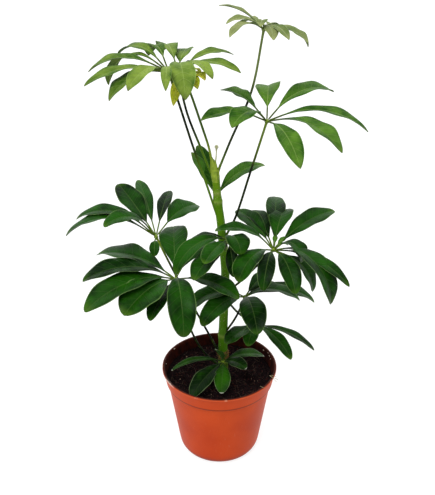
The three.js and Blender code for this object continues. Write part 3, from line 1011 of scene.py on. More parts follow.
@dataclass
class Soil:
    """The peat in the pot: its body, and the crumbs and fibres on it.

    "body" is its wall as radius and height. Its top starts at the radius "edge" and lies about "height" high,
    with waves and lumps that rise by "roll" and "lump". The sheet is the top's copy under what is scattered.
    """

    sides: int = 120
    rings: int = 40
    height: float = 88.0
    roll: float = 1.1
    edge: float = 55.2
    body: tuple[Point, ...] = ((35.7, 1.9), (38.9, 3.4), (41.8, 12.3), (52.5, 82), (54.0, 83.6))
    innermost: float = 1.2
    lump: float = 1.2
    lump_size: float = 6.0
    sheet_steps: int = 60
    sheet_margin: float = 1.5
    crumbs: int = 5200
    fibres: int = 150
    finish: PeatFinish = PeatFinish("peat_ground")
    thread: HuskFinish = HuskFinish("peat_thread", "#2b1c12", "#5a4330", 0.85, 500.0)

    def top(self, x: float, y: float) -> float:
        """The height of the peat at a place, all in millimetres."""
        inward = 1 - min(1.0, math.hypot(x, y) / self.edge)
        wave = math.sin(x / 7 + 1) + math.cos(y / 6) + math.sin((x + y) / 4)
        rough = noise.fractal(Vector((x, y, 3.0)) / self.lump_size, 1.0, 2.2, 4) * self.lump
        return self.height + (self.roll * wave + rough) * min(1.0, 3 * inward)

    def bed(self) -> bpy.types.Object:
        """Builds the peat's closed body with its uneven top.

        Returns:
            The finished piece, which stands for the CAD soil.
        """
        rings = [ring_at(radius, height, self.sides) for radius, height in self.body]
        for radius in np.linspace(self.edge, self.innermost, self.rings):
            rings.append([(x, y, self.top(x, y)) for x, y, _ in ring_at(radius, 0, self.sides)])
        points, faces = tube([np.array(ring) * MM for ring in rings])
        piece = make_mesh("soil_bed", points, faces, {"tone": np.zeros(len(points))})
        return finish_piece(self.finish.on(tidy(piece, crease=50.0)), Slot.PEAT, "soil")

    def sheet(self, name: str) -> bpy.types.Object:
        """An open copy of the peat's top, which carries what is scattered on it."""
        count = self.sheet_steps
        steps = np.linspace(-self.edge, self.edge, count)
        grid = [(x, y) for y in steps for x in steps]
        inside = [math.hypot(x, y) < self.edge - self.sheet_margin for x, y in grid]
        faces = []
        for row in range(count - 1):
            for i in range(count - 1):
                a = row * count + i
                corners = [a, a + 1, a + 1 + count, a + count]
                if all(inside[c] for c in corners):
                    faces.append(corners)
        return make_mesh(name, [(x * MM, y * MM, self.top(x, y) * MM) for x, y in grid], faces)

    def spread(self, count: int) -> float:
        """How many to a square metre puts a count of them on the peat's top."""
        return count / (math.pi * (self.edge * MM) ** 2)

    def scatter_crumbs(self) -> bpy.types.Object:
        """Scatters crumbs of peat on the top.

        Returns:
            The finished piece.
        """
        kit = GeometryKit("peat_crumbs", {
            "Crumbs to a square metre": self.spread(self.crumbs),
            "Smallest": 0.35 * MM,
            "Largest": 1.25 * MM,
            "Shift": 0.8 * MM,
            "Seed": 11,
            "Finish": self.finish.material(),
        })
        spots, _ = kit.scatter("Crumbs to a square metre")
        skew = kit.chance((0.6, 0.6, 0.4), (1.2, 1.2, 0.9), 3)
        big = kit.chance(0.0, 1.0, 7) ** 3.0
        size = kit.size("Smallest") + (kit.size("Largest") - kit.size("Smallest")) * big
        spots = kit.store(spots, "tone", kit.chance(0.0, 1.0, 5))
        turn = kit.chance((0.0, 0.0, 0.0), (TAU, TAU, TAU), 9)
        crumbs = kit.copies(spots, kit.ball(1.0, splits=1), Rotation=turn, Scale=skew * size)
        push = kit.add("ShaderNodeTexNoise", {}, {"Vector": kit.here(), "Scale": 900.0}, "Color")
        shifted = kit.move(kit.loosen(crumbs), Offset=(push - (0.5, 0.5, 0.5)) * kit.size("Shift"))
        piece = kit.run(self.sheet("soil_crumbs"), shifted, keep=("tone",))
        return finish_piece(tidy(piece, crease=180.0), Slot.PEAT)

    def scatter_fibres(self) -> bpy.types.Object:
        """Scatters short bent fibres on the top.

        Returns:
            The finished piece.
        """
        kit = GeometryKit("peat_fibres", {
            "Fibres to a square metre": self.spread(self.fibres),
            "Radius": 0.16 * MM,
            "Seed": 21,
            "Finish": self.thread.material(),
        })
        spots, _ = kit.scatter("Fibres to a square metre")
        arc = kit.add("GeometryNodeCurveQuadraticBezier", {}, {
            "Resolution": 5, "Start": (-3.5 * MM, 0.0, 0.1 * MM), "Middle": (0.0, 1.8 * MM, 1.3 * MM),
            "End": (3.5 * MM, 0.0, 0.2 * MM)})
        turn = kit.chance((-0.2, -0.2, 0.0), (0.2, 0.2, TAU), 4)
        arcs = kit.copies(spots, arc, Rotation=turn, Scale=kit.chance((0.4, 0.2, 0.5), (1.3, 1.4, 1.4), 6))
        piece = kit.run(self.sheet("soil_fibres"), kit.rods(kit.loosen(arcs), 4, kit.size("Radius")))
        return finish_piece(tidy(piece, crease=180.0), Slot.PEAT)

    def build(self) -> None:
        """Builds and dresses the peat."""
        self.bed()
        self.scatter_crumbs()
        self.scatter_fibres()


@dataclass
class RimLitter:
    """Bits of dry straw across the pot's rim, and pale chips stuck high on its inner wall."""

    straws: tuple[tuple[Point, ...], ...] = (
        ((51.4, -20.0, 100.7), (54.6, -23.4, 100.2), (58.4, -29.6, 99.6)),
        ((52.0, -20.6, 100.9), (54.9, -22.6, 100.2), (60.0, -26.0, 99.9)),
        ((53.4, -19.2, 100.4), (56.0, -20.0, 100.2), (58.6, -21.6, 100.0)),
        ((41.4, -37.4, 100.3), (43.2, -39.0, 100.2), (45.2, -39.8, 100.1)),
    )
    chips: tuple[tuple[Point, ...], ...] = (
        ((-49.3, 29.0, 99.0), (-48.3, 30.7, 98.8)), ((47.6, 30.9, 97.2), (48.5, 29.6, 96.8)),
        ((53.6, 20.0, 97.3), (54.1, 18.5, 96.9)), ((52.5, 23.4, 98.6), (52.9, 22.5, 98.4)),
        ((-56.6, 5.6, 96.2), (-56.5, 7.0, 95.9)), ((54.9, 15.6, 96.2), (55.1, 14.8, 96.0)),
    )
    straw_radius: float = 0.2
    chip_radius: float = 0.42
    straw: HuskFinish = HuskFinish("rim_straw", "#7d6a48", "#cbbd98", 0.7, 600.0)
    chip: HuskFinish = HuskFinish("wall_chip", "#a88f74", "#e6d6c2", 0.7, 600.0)

    def rods(self, name: str, lines: tuple[tuple[Point, ...], ...], radius: float,
             finish: HuskFinish) -> bpy.types.Object:
        """Builds a closed rod along each line.

        Args:
            name: The piece's name.
            lines: Each rod's points, in millimetres.
            radius: The rods' radius, in millimetres.
            finish: The rods' finish.

        Returns:
            The finished piece.
        """
        points = [tuple(v * MM for v in point) for line in lines for point in line]
        starts = np.cumsum([0] + [len(line) for line in lines])
        edges = [(i, i + 1) for a, b in zip(starts, starts[1:]) for i in range(a, b - 1)]
        kit = GeometryKit(name + "_rods", {"Radius": radius * MM, "Finish": finish.material()})
        courses = kit.add("GeometryNodeMeshToCurve", {}, {"Mesh": kit.size("Geometry")})
        piece = kit.run(make_mesh(name, points, [], None, edges), kit.rods(courses, 6, kit.size("Radius")))
        return finish_piece(tidy(piece, crease=60.0), Slot.PEAT)

    def build(self) -> None:
        """Builds and dresses the straws and the chips."""
        self.rods("rim_straws", self.straws, self.straw_radius, self.straw)
        self.rods("wall_chips", self.chips, self.chip_radius, self.chip)


# The trunk and what sits on it.


@dataclass
class Trunk:
    """The bare green trunk, thicker at its nodes, with a ring scar at each.

    "line" is its middle, "radii" are heights and the radius at each, and "nodes" are the scars' heights. A
    row of "flutes" is their depth, how many go round, and the height in which they turn by one radian.
    """

    line: tuple[Point, ...] = (
        (3.8, 0, 60), (3.8, 0, 110), (3.7, 0, 131), (4.3, 0.5, 160), (5.2, 1, 190), (5.7, 1, 214),
        (2.8, 0.5, 247), (1.1, 0, 267), (-1.9, -0.5, 290), (-3.6, 0, 312), (-5.2, 0, 328),
    )
    radii: tuple[Point, ...] = (
        (60, 4.4), (84, 5.2), (98, 5.4), (104, 4.9), (130, 4.5), (138, 5.3), (145, 4.6), (176, 4.4),
        (183, 5.0), (189, 4.3), (232, 4.2), (240, 4.7), (246, 4.1), (282, 3.9), (289, 4.5), (295, 3.8),
        (306, 3.6), (314, 3.7), (322, 2.9), (328, 1.9),
    )
    nodes: tuple[float, ...] = (98, 105, 138, 183, 240, 289, 298, 314)
    ridge_height: float = 0.28
    ridge_width: float = 0.9
    scar_width: float = 2.2
    flutes: tuple[Point, ...] = ((0.1, 5, 40), (0.06, 11, 25))
    sides: int = 32
    step: float = 1.0
    finish: BarkFinish = BarkFinish("trunk_bark")
    cork: HuskFinish = HuskFinish("lenticel_cork", "#8a8a52", "#c0bd86", 0.8, 1500.0)
    husk: HuskFinish = HuskFinish("bud_husk", "#3a2113", "#a8843c", 0.75, 700.0)

    def middle(self, height: float) -> np.ndarray:
        """The trunk's middle at a height, in metres."""
        line = smooth_line(self.line, 10)
        return np.array([np.interp(height, line[:, 2], line[:, i]) for i in range(2)] + [height])

    def radius(self, height: float) -> float:
        """The trunk's radius at a height, in metres, with a thin ridge at each node."""
        heights, radii = np.array(self.radii, float).T * MM
        near = [np.interp(height + shift * MM, heights, radii) for shift in (-2, -1, 0, 1, 2)]
        from_nodes = [(height / MM - node) / self.ridge_width for node in self.nodes]
        return float(np.mean(near)) + sum(self.ridge_height * MM * math.exp(-(f**2)) for f in from_nodes)

    def stem(self) -> bpy.types.Object:
        """Builds the trunk's skin.

        Returns:
            The finished piece, which stands for the CAD trunk.
        """
        low, high = self.radii[0][0], self.radii[-1][0]
        rings, node = [], []
        for height in np.arange(low, high + 0.01, self.step):
            middle, radius = self.middle(height * MM), self.radius(height * MM)
            near = max(math.exp(-(((height - n) / self.scar_width) ** 2)) for n in self.nodes)
            ring = []
            for turn in around(self.sides):
                flute = sum(deep * math.sin(count * turn + height / twist)
                            for deep, count, twist in self.flutes)
                ring.append(middle + (radius + flute * MM) * outward(turn))
                node.append(near)
            rings.append(np.array(ring))
        points, faces = tube(rings)
        piece = make_mesh("trunk_stem", points, faces, {"node": [*node, node[0], node[-1]]})
        return finish_piece(self.finish.on(tidy(piece, crease=70.0)), Slot.BARK, "trunk")

    def scatter_pores(self, stem: bpy.types.Object) -> bpy.types.Object:
        """Scatters small corky pores over the trunk's skin.

        Args:
            stem: The finished trunk.

        Returns:
            The finished piece.
        """
        kit = GeometryKit("bark_pores", {
            "Pores to a square metre": 26000.0,
            "Lowest": 0.106,
            "Size": 0.42 * MM,
            "Seed": 31,
            "Finish": self.cork.material(),
        })
        spots, turn = kit.scatter("Pores to a square metre", kit.here().part("Z").above(kit.size("Lowest")))
        skew = kit.chance((0.6, 0.9, 0.35), (1.0, 1.9, 0.5), 8)
        pores = kit.copies(spots, kit.ball(1.0, splits=1), Rotation=turn, Scale=skew * kit.size("Size"))
        return finish_piece(tidy(kit.run(copy_of(stem, "trunk_pores"), pores), crease=180.0), Slot.BARK)

    def scatter_husks(self, stem: bpy.types.Object) -> bpy.types.Object:
        """Scatters dry bud scales on the trunk's front, just above the lowest leaf.

        Args:
            stem: The finished trunk.

        Returns:
            The finished piece.
        """
        kit = GeometryKit("foot_husks", {
            "Husks to a square metre": 6.0e5,
            "Lowest": 0.1095,
            "Highest": 0.1195,
            "Length": 2.6 * MM,
            "Radius": 0.7 * MM,
            "Tip radius": 0.05 * MM,
            "Seed": 51,
            "Finish": self.husk.material(),
        })
        height, depth = kit.here().part("Z"), kit.here().part("Y")
        level = height.above(kit.size("Lowest")) * kit.size("Highest").above(height)
        in_front = (0.0 - depth).above(0.0)
        spots, turn = kit.scatter("Husks to a square metre", level * in_front)
        scale = kit.add("GeometryNodeMeshCone", {}, {
            "Vertices": 5,
            "Radius Top": kit.size("Tip radius"),
            "Radius Bottom": kit.size("Radius"),
            "Depth": kit.size("Length"),
        })
        skew = kit.chance((0.5, 0.9, 0.5), (0.8, 1.4, 1.0), 14)
        scales = kit.copies(spots, scale, Rotation=turn, Scale=skew)
        tilted = kit.add("GeometryNodeRotateInstances", {}, {
            "Instances": scales, "Rotation": kit.chance((-0.9, -0.9, 0.0), (0.9, 0.9, TAU), 15)})
        return finish_piece(tidy(kit.run(copy_of(stem, "trunk_husks"), tilted), crease=40.0), Slot.BARK)

    def build(self) -> None:
        """Builds and dresses the trunk."""
        stem = self.stem()
        self.scatter_pores(stem)
        self.scatter_husks(stem)


@dataclass
class TipSheath:
    """The sheath round the trunk's tip and the small pointed bracts on it.

    A bract is its bearing, the heights of its foot and its tip, its width, and how far its tip leans out.
    "clearance" keeps it off the trunk's skin, and "point" is half the width that it ends with.
    """

    trunk: Trunk = field(default_factory=Trunk)
    bracts: tuple[Point, ...] = (
        (215, 309, 333, 10.5, 0.5), (290, 317, 331, 4, 2.3), (345, 314, 326.5, 4.5, 2.4),
        (95, 316, 330, 7, 0.9),
    )
    thickness: float = 0.4
    clearance: float = 0.05
    point: float = 0.12
    steps: int = 16
    ways: int = 10
    skin: HuskFinish = HuskFinish("sheath_skin", "#7c9c10", "#a8bf2a", 0.5, 420.0)

    def build(self) -> bpy.types.Object:
        """Builds each bract as a closed curved scale that narrows to a point.

        Returns:
            The finished piece. It stands for the youngest CAD leaf, with that leaf's blades and stalk.
        """
        points, faces = [], []
        count = 2 * (self.ways + 1)
        for bearing, low, high, width, lean in self.bracts:
            first = len(points)
            for t in np.linspace(0, 1, self.steps + 1):
                height = (low + (high - low) * t) * MM
                reach = self.trunk.radius(height) + (self.clearance + lean * t * t) * MM
                spread = (width / 2 * (1 - t**2.5) + self.point) * MM / reach
                turns = math.radians(bearing) + np.linspace(-spread, spread, self.ways + 1)
                middle = self.trunk.middle(height)
                wall = self.thickness * MM * min(0.1 + 3 * t, 1 - 0.7 * t)
                for radius, way in ((reach + wall, turns), (reach, turns[::-1])):
                    points += [middle + radius * outward(turn) for turn in way]
            faces += ring_faces(first, self.steps, count)
            for start in (first, first + self.steps * count):
                faces += [[start + i, start + i + 1, start + count - 2 - i, start + count - 1 - i]
                          for i in range(self.ways)]
        piece = make_mesh("tip_sheath", points, faces)
        return finish_piece(self.skin.on(tidy(piece, crease=50.0)), Slot.NEW, "leaf_young")


@dataclass
class TipBud:
    """The small furry bud on its thin stalk at the trunk's tip.

    "profile" is its rise above the foot and its radius there. Its head is lobed above "crown_foot", and furry
    down to "fur_depth" under the top of its stalk.
    """

    foot: Point = (-3.9, 0, 328.4)
    head: Point = (-2.8, 0, 343)
    profile: tuple[Point, ...] = (
        (-0.4, 0.875), (1.5, 0.7), (8.03, 0.55), (12.7, 0.62), (13.3, 1.05), (14.0, 1.5), (14.8, 1.6),
        (15.5, 1.35), (15.9, 0.9), (16.15, 0.3),
    )
    crown_foot: float = 13.0
    lobes: int = 5
    lobe_height: float = 0.09
    sway: float = 0.25
    fur_depth: float = 3.5
    sides: int = 16
    rings: int = 34
    skin: HuskFinish = HuskFinish("bud_skin", "#c4c890", "#e6eabc", 0.6, 800.0)
    fur: HuskFinish = HuskFinish("bud_fur", "#dfe0b0", "#f4f4dc", 0.8, 900.0)

    def body(self) -> bpy.types.Object:
        """Builds the stalk and the head as one turned shell.

        Returns:
            The finished piece, which stands for the CAD bud.
        """
        foot, head = np.array(self.foot, float), np.array(self.head, float)
        heights, radii = zip(*self.profile)
        turns = around(self.sides)
        rings = []
        for rise in np.linspace(heights[0], heights[-1], self.rings):
            reach = float(np.interp(rise, heights, radii))
            middle = foot + (head - foot) * (rise / (head[2] - foot[2]))
            middle = middle + np.array([self.sway * math.sin(rise / 4), 0, 0])
            crown = 1 + self.lobe_height * np.sin(turns * self.lobes + rise) * (rise > self.crown_foot)
            rings.append(np.array([middle + reach * c * outward(t) for t, c in zip(turns, crown)]) * MM)
        points, faces = tube(rings)
        piece = make_mesh("tip_bud_body", points, faces)
        return finish_piece(self.skin.on(tidy(piece, crease=80.0)), Slot.BUD, "tip_bud")

    def grow_fur(self, body: bpy.types.Object) -> bpy.types.Object:
        """Grows short hairs on the bud.

        Args:
            body: The finished bud.

        Returns:
            The finished piece.
        """
        kit = GeometryKit("bud_hairs", {
            "Hairs to a square metre": 8.0e6,
            "Lowest": (self.head[2] - self.fur_depth) * MM,
            "Length": 1.1 * MM,
            "Radius": 0.07 * MM,
            "Seed": 41,
            "Finish": self.fur.material(),
        })
        spots, turn = kit.scatter("Hairs to a square metre", kit.here().part("Z").above(kit.size("Lowest")))
        hair = kit.add("GeometryNodeMeshCone", {}, {
            "Vertices": 4, "Radius Bottom": kit.size("Radius"), "Depth": kit.size("Length")})
        hairs = kit.copies(spots, hair, Rotation=turn, Scale=kit.chance(0.5, 1.1, 12))
        return finish_piece(tidy(kit.run(copy_of(body, "tip_bud_fur"), hairs), crease=180.0), Slot.BUD)

    def build(self) -> None:
        """Builds and dresses the bud."""
        self.grow_fur(self.body())


# The leaves.


class Habit(Enum):
    """How old a leaf is, which sets the form of its blades.

    The numbers are how far they fold, how far they ripple, where they are widest and how pointed they end.
    """

    YOUNG = (0.30, 0.10, 1.2, 0.85)
    UPPER = (0.27, 0.07, 1.28, 0.78)
    LOWER = (0.24, 0.06, 1.3, 0.57)


@dataclass(frozen=True)
class LeafLook:
    """The finishes and form that leaves of one kind share."""

    slot: Slot
    habit: Habit
    blade: BladeFinish
    stalk: StalkFinish


# In each look's stalk the middle colour is painted shade, nearly black on all but the young leaf.
PALE = LeafLook(
    Slot.PALE, Habit.UPPER,
    BladeFinish(
        "blade_pale", "#566b30", "#868f59", "#a9b886", "#b4bf92", "#a3ad6c", "#7f9660", "#66753a",
        gloss=0.45),
    StalkFinish("stalk_pale", "#66862a", "#1a270c", "#7f9150", 0.16, 0.66))
BRIGHT = LeafLook(
    Slot.BRIGHT, Habit.UPPER,
    BladeFinish(
        "blade_bright", "#1f4a07", "#568024", "#8fa95a", "#86a056", "#6c8630", "#4c6c32", "#4c5f1e",
        gloss=0.38, vein_share=0.14, rib_share=0.5, tip_start=0.85, tip_share=0.2),
    StalkFinish("stalk_bright", "#4c6c12", "#0f1c06", "#76902e", 0.12, 0.74))
LIGHT = LeafLook(
    Slot.BRIGHT, Habit.UPPER,
    BladeFinish(
        "blade_light", "#34580b", "#7b9438", "#9ab05e", "#8aa258", "#5c6c2c", "#55743a", "#4c5f1e",
        gloss=0.42, rib_share=0.45, tip_start=0.88, tip_share=0.4),
    StalkFinish("stalk_light", "#5f861c", "#111d08", "#5c7422", 0.45, 0.95))
NEW = LeafLook(
    Slot.NEW, Habit.YOUNG,
    BladeFinish(
        "blade_new", "#b2c024", "#dfe044", "#d8dc70", "#d0d45c", "#c8c040", "#c2cc3a", "#8c9c2c",
        gloss=0.5),
    StalkFinish("stalk_new", "#94aa30", "#4a6a18", "#7f9030", 0.3, 0.9))
MEDIUM = LeafLook(
    Slot.DARK, Habit.LOWER,
    BladeFinish(
        "blade_medium", "#204e08", "#4b7e22", "#84a352", "#7f9f58", "#6a882c", "#4b6e34", "#4c661e",
        gloss=0.36),
    StalkFinish("stalk_medium", "#35530f", "#1a2b0c", "#64802a"))
DARK = LeafLook(
    Slot.DARK, Habit.LOWER,
    BladeFinish(
        "blade_dark", "#041e01", "#1e5007", "#5e7a3e", "#769452", "#587f1e", "#345426", "#5c7422",
        gloss=0.3, vein_share=0.06, rib_share=0.42, tip_start=0.86, tip_share=0.1),
    StalkFinish("stalk_dark", "#2f4a10", "#0e1908", "#7d962e", 0.08, 0.84))
# Its near-white tip colour is a painted highlight, glints on the leaflets' ends. Its pale rim colour is
# partly the leaf's pale margin and partly a painted highlight along the edges.
LOWEST = LeafLook(
    Slot.DARK, Habit.LOWER,
    BladeFinish(
        "blade_lowest", "#051f01", "#2a5c0a", "#546e3c", "#8a9f6e", "#e4e8d4", "#2c4a20", "#5c6e2a",
        gloss=0.3, vein_share=0.06, rib_share=0.3, tip_start=0.958, tip_share=0.8),
    DARK.stalk)


@dataclass
class CompoundLeaf:
    """A leaf stalk with leaflets round its end.

    "hub" is where the leaflets meet, "route" is the stalk's way there from the trunk's middle, and "stem" is
    the length of each leaflet's own stalk. A leaflet is its bearing round from +X, its length and width, how
    far it rises above level at its start, and how far it has turned down at its tip. "node" is the CAD node
    that it stands for, where that isn't its own name. The blades' ribs, veins and ripples, and the stalk's
    swollen ends, have the sizes that follow.
    """

    name: str
    look: LeafLook
    hub: Point
    route: tuple[Point, ...]
    stem: float
    leaflets: tuple[Point, ...]
    stalk_radius: float = 1.1
    hub_radius: float = 2.1
    leaflet_stalk_radius: float = 0.72
    blade_half_thickness: float = 0.32
    root_inset: float = 0.9
    root_power: float = 0.8
    roll: float = 9.0
    roll_step: float = 2.4
    node: str = ""
    ring_steps: int = 32
    way_steps: int = 40
    stalk_share: float = 0.15
    rib_width: float = 0.9
    rib_sink: float = 0.3
    rib_swell: float = 0.18
    side_veins: float = 8.0
    vein_height: float = 0.25
    ripples: float = 17.0
    foot_swell: float = 0.85
    foot_reach: float = 7.0
    head_swell: float = 0.35
    head_reach: float = 3.0
    knob_dents: float = 0.6
    marks: tuple[str, ...] = field(default=("across", "along", "off_rib", "upper", "tone"))

    def blades(self) -> bpy.types.Object:
        """Builds the leaflets, each one a closed shell that follows the rule of its row in the table.

        Returns:
            The finished piece, which stands for the CAD leaf together with the stalk.
        """
        rows = np.array(self.leaflets, float)
        order = np.arange(1, len(rows) + 1)
        tones = np.modf(np.sin(order * 12.9898 + len(self.name) * 3.7 + self.hub[0]) * 437.585)[0] % 1.0
        base = make_mesh(self.name + "_blades", [(0, 0, 0)] * len(rows), [], {
            "bearing": np.radians(rows[:, 0]), "length": rows[:, 1] * MM, "width": rows[:, 2] * MM,
            "rise": np.radians(rows[:, 3]), "droop": np.radians(rows[:, 4]),
            "roll": np.radians(self.roll * np.sin(self.roll_step * order)), "tone": tones})
        fold, ripple, skew, tip = self.look.habit.value
        kit = GeometryKit(self.name + "_leaflets", {
            "Hub": tuple(v * MM for v in self.hub),
            "Stem": self.stem * MM,
            "Stalk radius": self.leaflet_stalk_radius * MM,
            "Half thickness": self.blade_half_thickness * MM,
            "Fold": fold,
            "Ripple": ripple,
            "Finish": self.look.blade.material(),
        })
        grid = kit.add("GeometryNodeMeshGrid", {}, {
            "Size X": 1.0,
            "Size Y": 1.0,
            "Vertices X": self.ring_steps + 1,
            "Vertices Y": self.way_steps + 1,
        })
        for name, axis in (("ring", "X"), ("way", "Y")):
            grid = kit.store(grid, name, kit.here().part(axis) + 0.5)
        shells = kit.loosen(kit.copies(kit.size("Geometry"), grid))

        ring, way = kit.mark("ring"), kit.mark("way")
        length, width, rise, droop = (kit.mark(n) for n in ("length", "width", "rise", "droop"))
        on_stalk = (way / self.stalk_share).at_most(1.0)
        onward = ((way - self.stalk_share) / (1 - self.stalk_share)).at_least(0.0)
        share = onward * 0.4 + (1.0 - (onward * math.pi).cosine()) * 0.3
        slope = rise - droop * share
        bend = length / droop
        inset = self.root_inset * MM
        straight = on_stalk * (kit.size("Stem") - inset) + inset
        reach = straight * rise.cosine() + bend * (rise.sine() - slope.sine())
        lift = straight * rise.sine() + bend * (slope.cosine() - rise.cosine())

        saw = abs(ring * 4.0 - 2.0) - 1.0
        across = saw * (abs(saw) * 0.65 + 0.35)
        side_up = (0.5 - ring).sign()
        face = side_up * (1.0 - across * across).at_least(0.0) ** 0.5
        steps = float(self.way_steps)
        closing = (way * steps).at_most(1.0) * ((1.0 - way) * steps).at_most(1.0)
        power = share * (tip - self.root_power) + self.root_power
        outline = ((share**skew) * math.pi).sine().at_least(0.0) ** power * width * 0.5
        rod = kit.size("Stalk radius") * (1.0 - share * 0.9)
        half = outline.at_least(rod) * closing
        flat = share.step(0.0, 0.12)
        thick = (kit.size("Stalk radius") * (1.0 - flat) + kit.size("Half thickness") * flat) * closing
        off_rib = across * half
        ridge = EULER ** ((off_rib / (self.rib_width * MM)) ** 2.0 * -1.0) * flat * (1.0 - share) * closing
        sink = ridge * (self.rib_sink * MM) - ridge * face * (self.rib_swell * MM)
        edge = abs(across)
        tone = kit.mark("tone")
        waves = (share * self.ripples + tone * 40.0 + across.sign() * 1.3).sine() * edge**3.0
        waves = waves * kit.size("Ripple")
        veins = ((share * self.side_veins - edge * 1.3) * TAU).sine() * edge * (1.0 - edge)
        veins = veins * flat * (self.vein_height * MM)
        cup = (edge * 1.5 - edge * edge * 0.6) * kit.size("Fold") + waves * flat
        rise_out = half * cup + face * thick - sink + veins * closing

        bearing, roll = kit.mark("bearing"), kit.mark("roll")
        out = kit.vector(bearing.cosine(), bearing.sine(), 0.0)
        side = kit.vector(bearing.sine() * -1.0, bearing.cosine(), 0.0)
        up = kit.vector(0.0, 0.0, 1.0)
        normal = up * slope.cosine() - out * slope.sine()
        rolled_side = side * roll.cosine() + normal * roll.sine()
        rolled_normal = normal * roll.cosine() - side * roll.sine()
        place = kit.size("Hub") + out * reach + up * lift + rolled_side * off_rib + rolled_normal * rise_out
        upper = 0.5 + 0.5 * (face * 8.0).at_most(1.0).at_least(-1.0)
        marks = {"across": across, "off_rib": off_rib, "upper": upper, "along": share + on_stalk - 1.0}
        for name, value in marks.items():
            shells = kit.store(shells, name, value)
        shaped = kit.move(shells, Position=place)
        closed = kit.add("GeometryNodeMergeByDistance", {}, {"Geometry": shaped, "Distance": SEAM})
        piece = kit.run(base, closed, keep=self.marks)
        return finish_piece(tidy(piece, crease=75.0), self.look.slot, self.node or self.name)

    def stalk(self) -> bpy.types.Object:
        """Builds the leaf stalk along its route, with its clasping foot and the knob under the leaflets.

        Returns:
            The finished piece, which stands for the CAD leaf together with the blades.
        """
        line = smooth_line([*self.route, self.hub], 12)
        steps = np.concatenate([[0], np.cumsum(np.linalg.norm(np.diff(line, axis=0), axis=1))])
        along = steps / steps[-1]
        from_head = steps[-1] - steps
        swell = 1 + self.foot_swell * np.exp(-((steps / (self.foot_reach * MM)) ** 2))
        swell = swell + self.head_swell * np.exp(-((from_head / (self.head_reach * MM)) ** 2))
        edges = [(i, i + 1) for i in range(len(line) - 1)]
        base = make_mesh(self.name + "_stalk", line, [], {
            "along": along, "thick": self.stalk_radius * MM * swell}, edges)
        kit = GeometryKit(self.name + "_rod", {
            "Hub": tuple(v * MM for v in self.hub),
            "Knob radius": self.hub_radius * MM,
            "Finish": self.look.stalk.material(),
        })
        course = kit.add("GeometryNodeMeshToCurve", {}, {"Mesh": kit.size("Geometry")})
        rod = kit.rods(course, 14, 1.0, kit.mark("thick"))
        dents = kit.noise(kit.here(), 500.0, 2.0) - 0.5
        ball = kit.store(kit.ball(kit.size("Knob radius"), splits=4), "along", 1.0)
        lumpy = kit.move(ball, Offset=kit.here() * dents * self.knob_dents)
        knob = kit.add("GeometryNodeTransform", {}, {"Geometry": lumpy, "Translation": kit.size("Hub")})
        piece = kit.run(base, kit.join(rod, knob), keep=("along",))
        return finish_piece(tidy(piece, crease=75.0), self.look.slot, self.name)

    def build(self) -> None:
        """Builds and dresses the leaf."""
        self.blades()
        self.stalk()


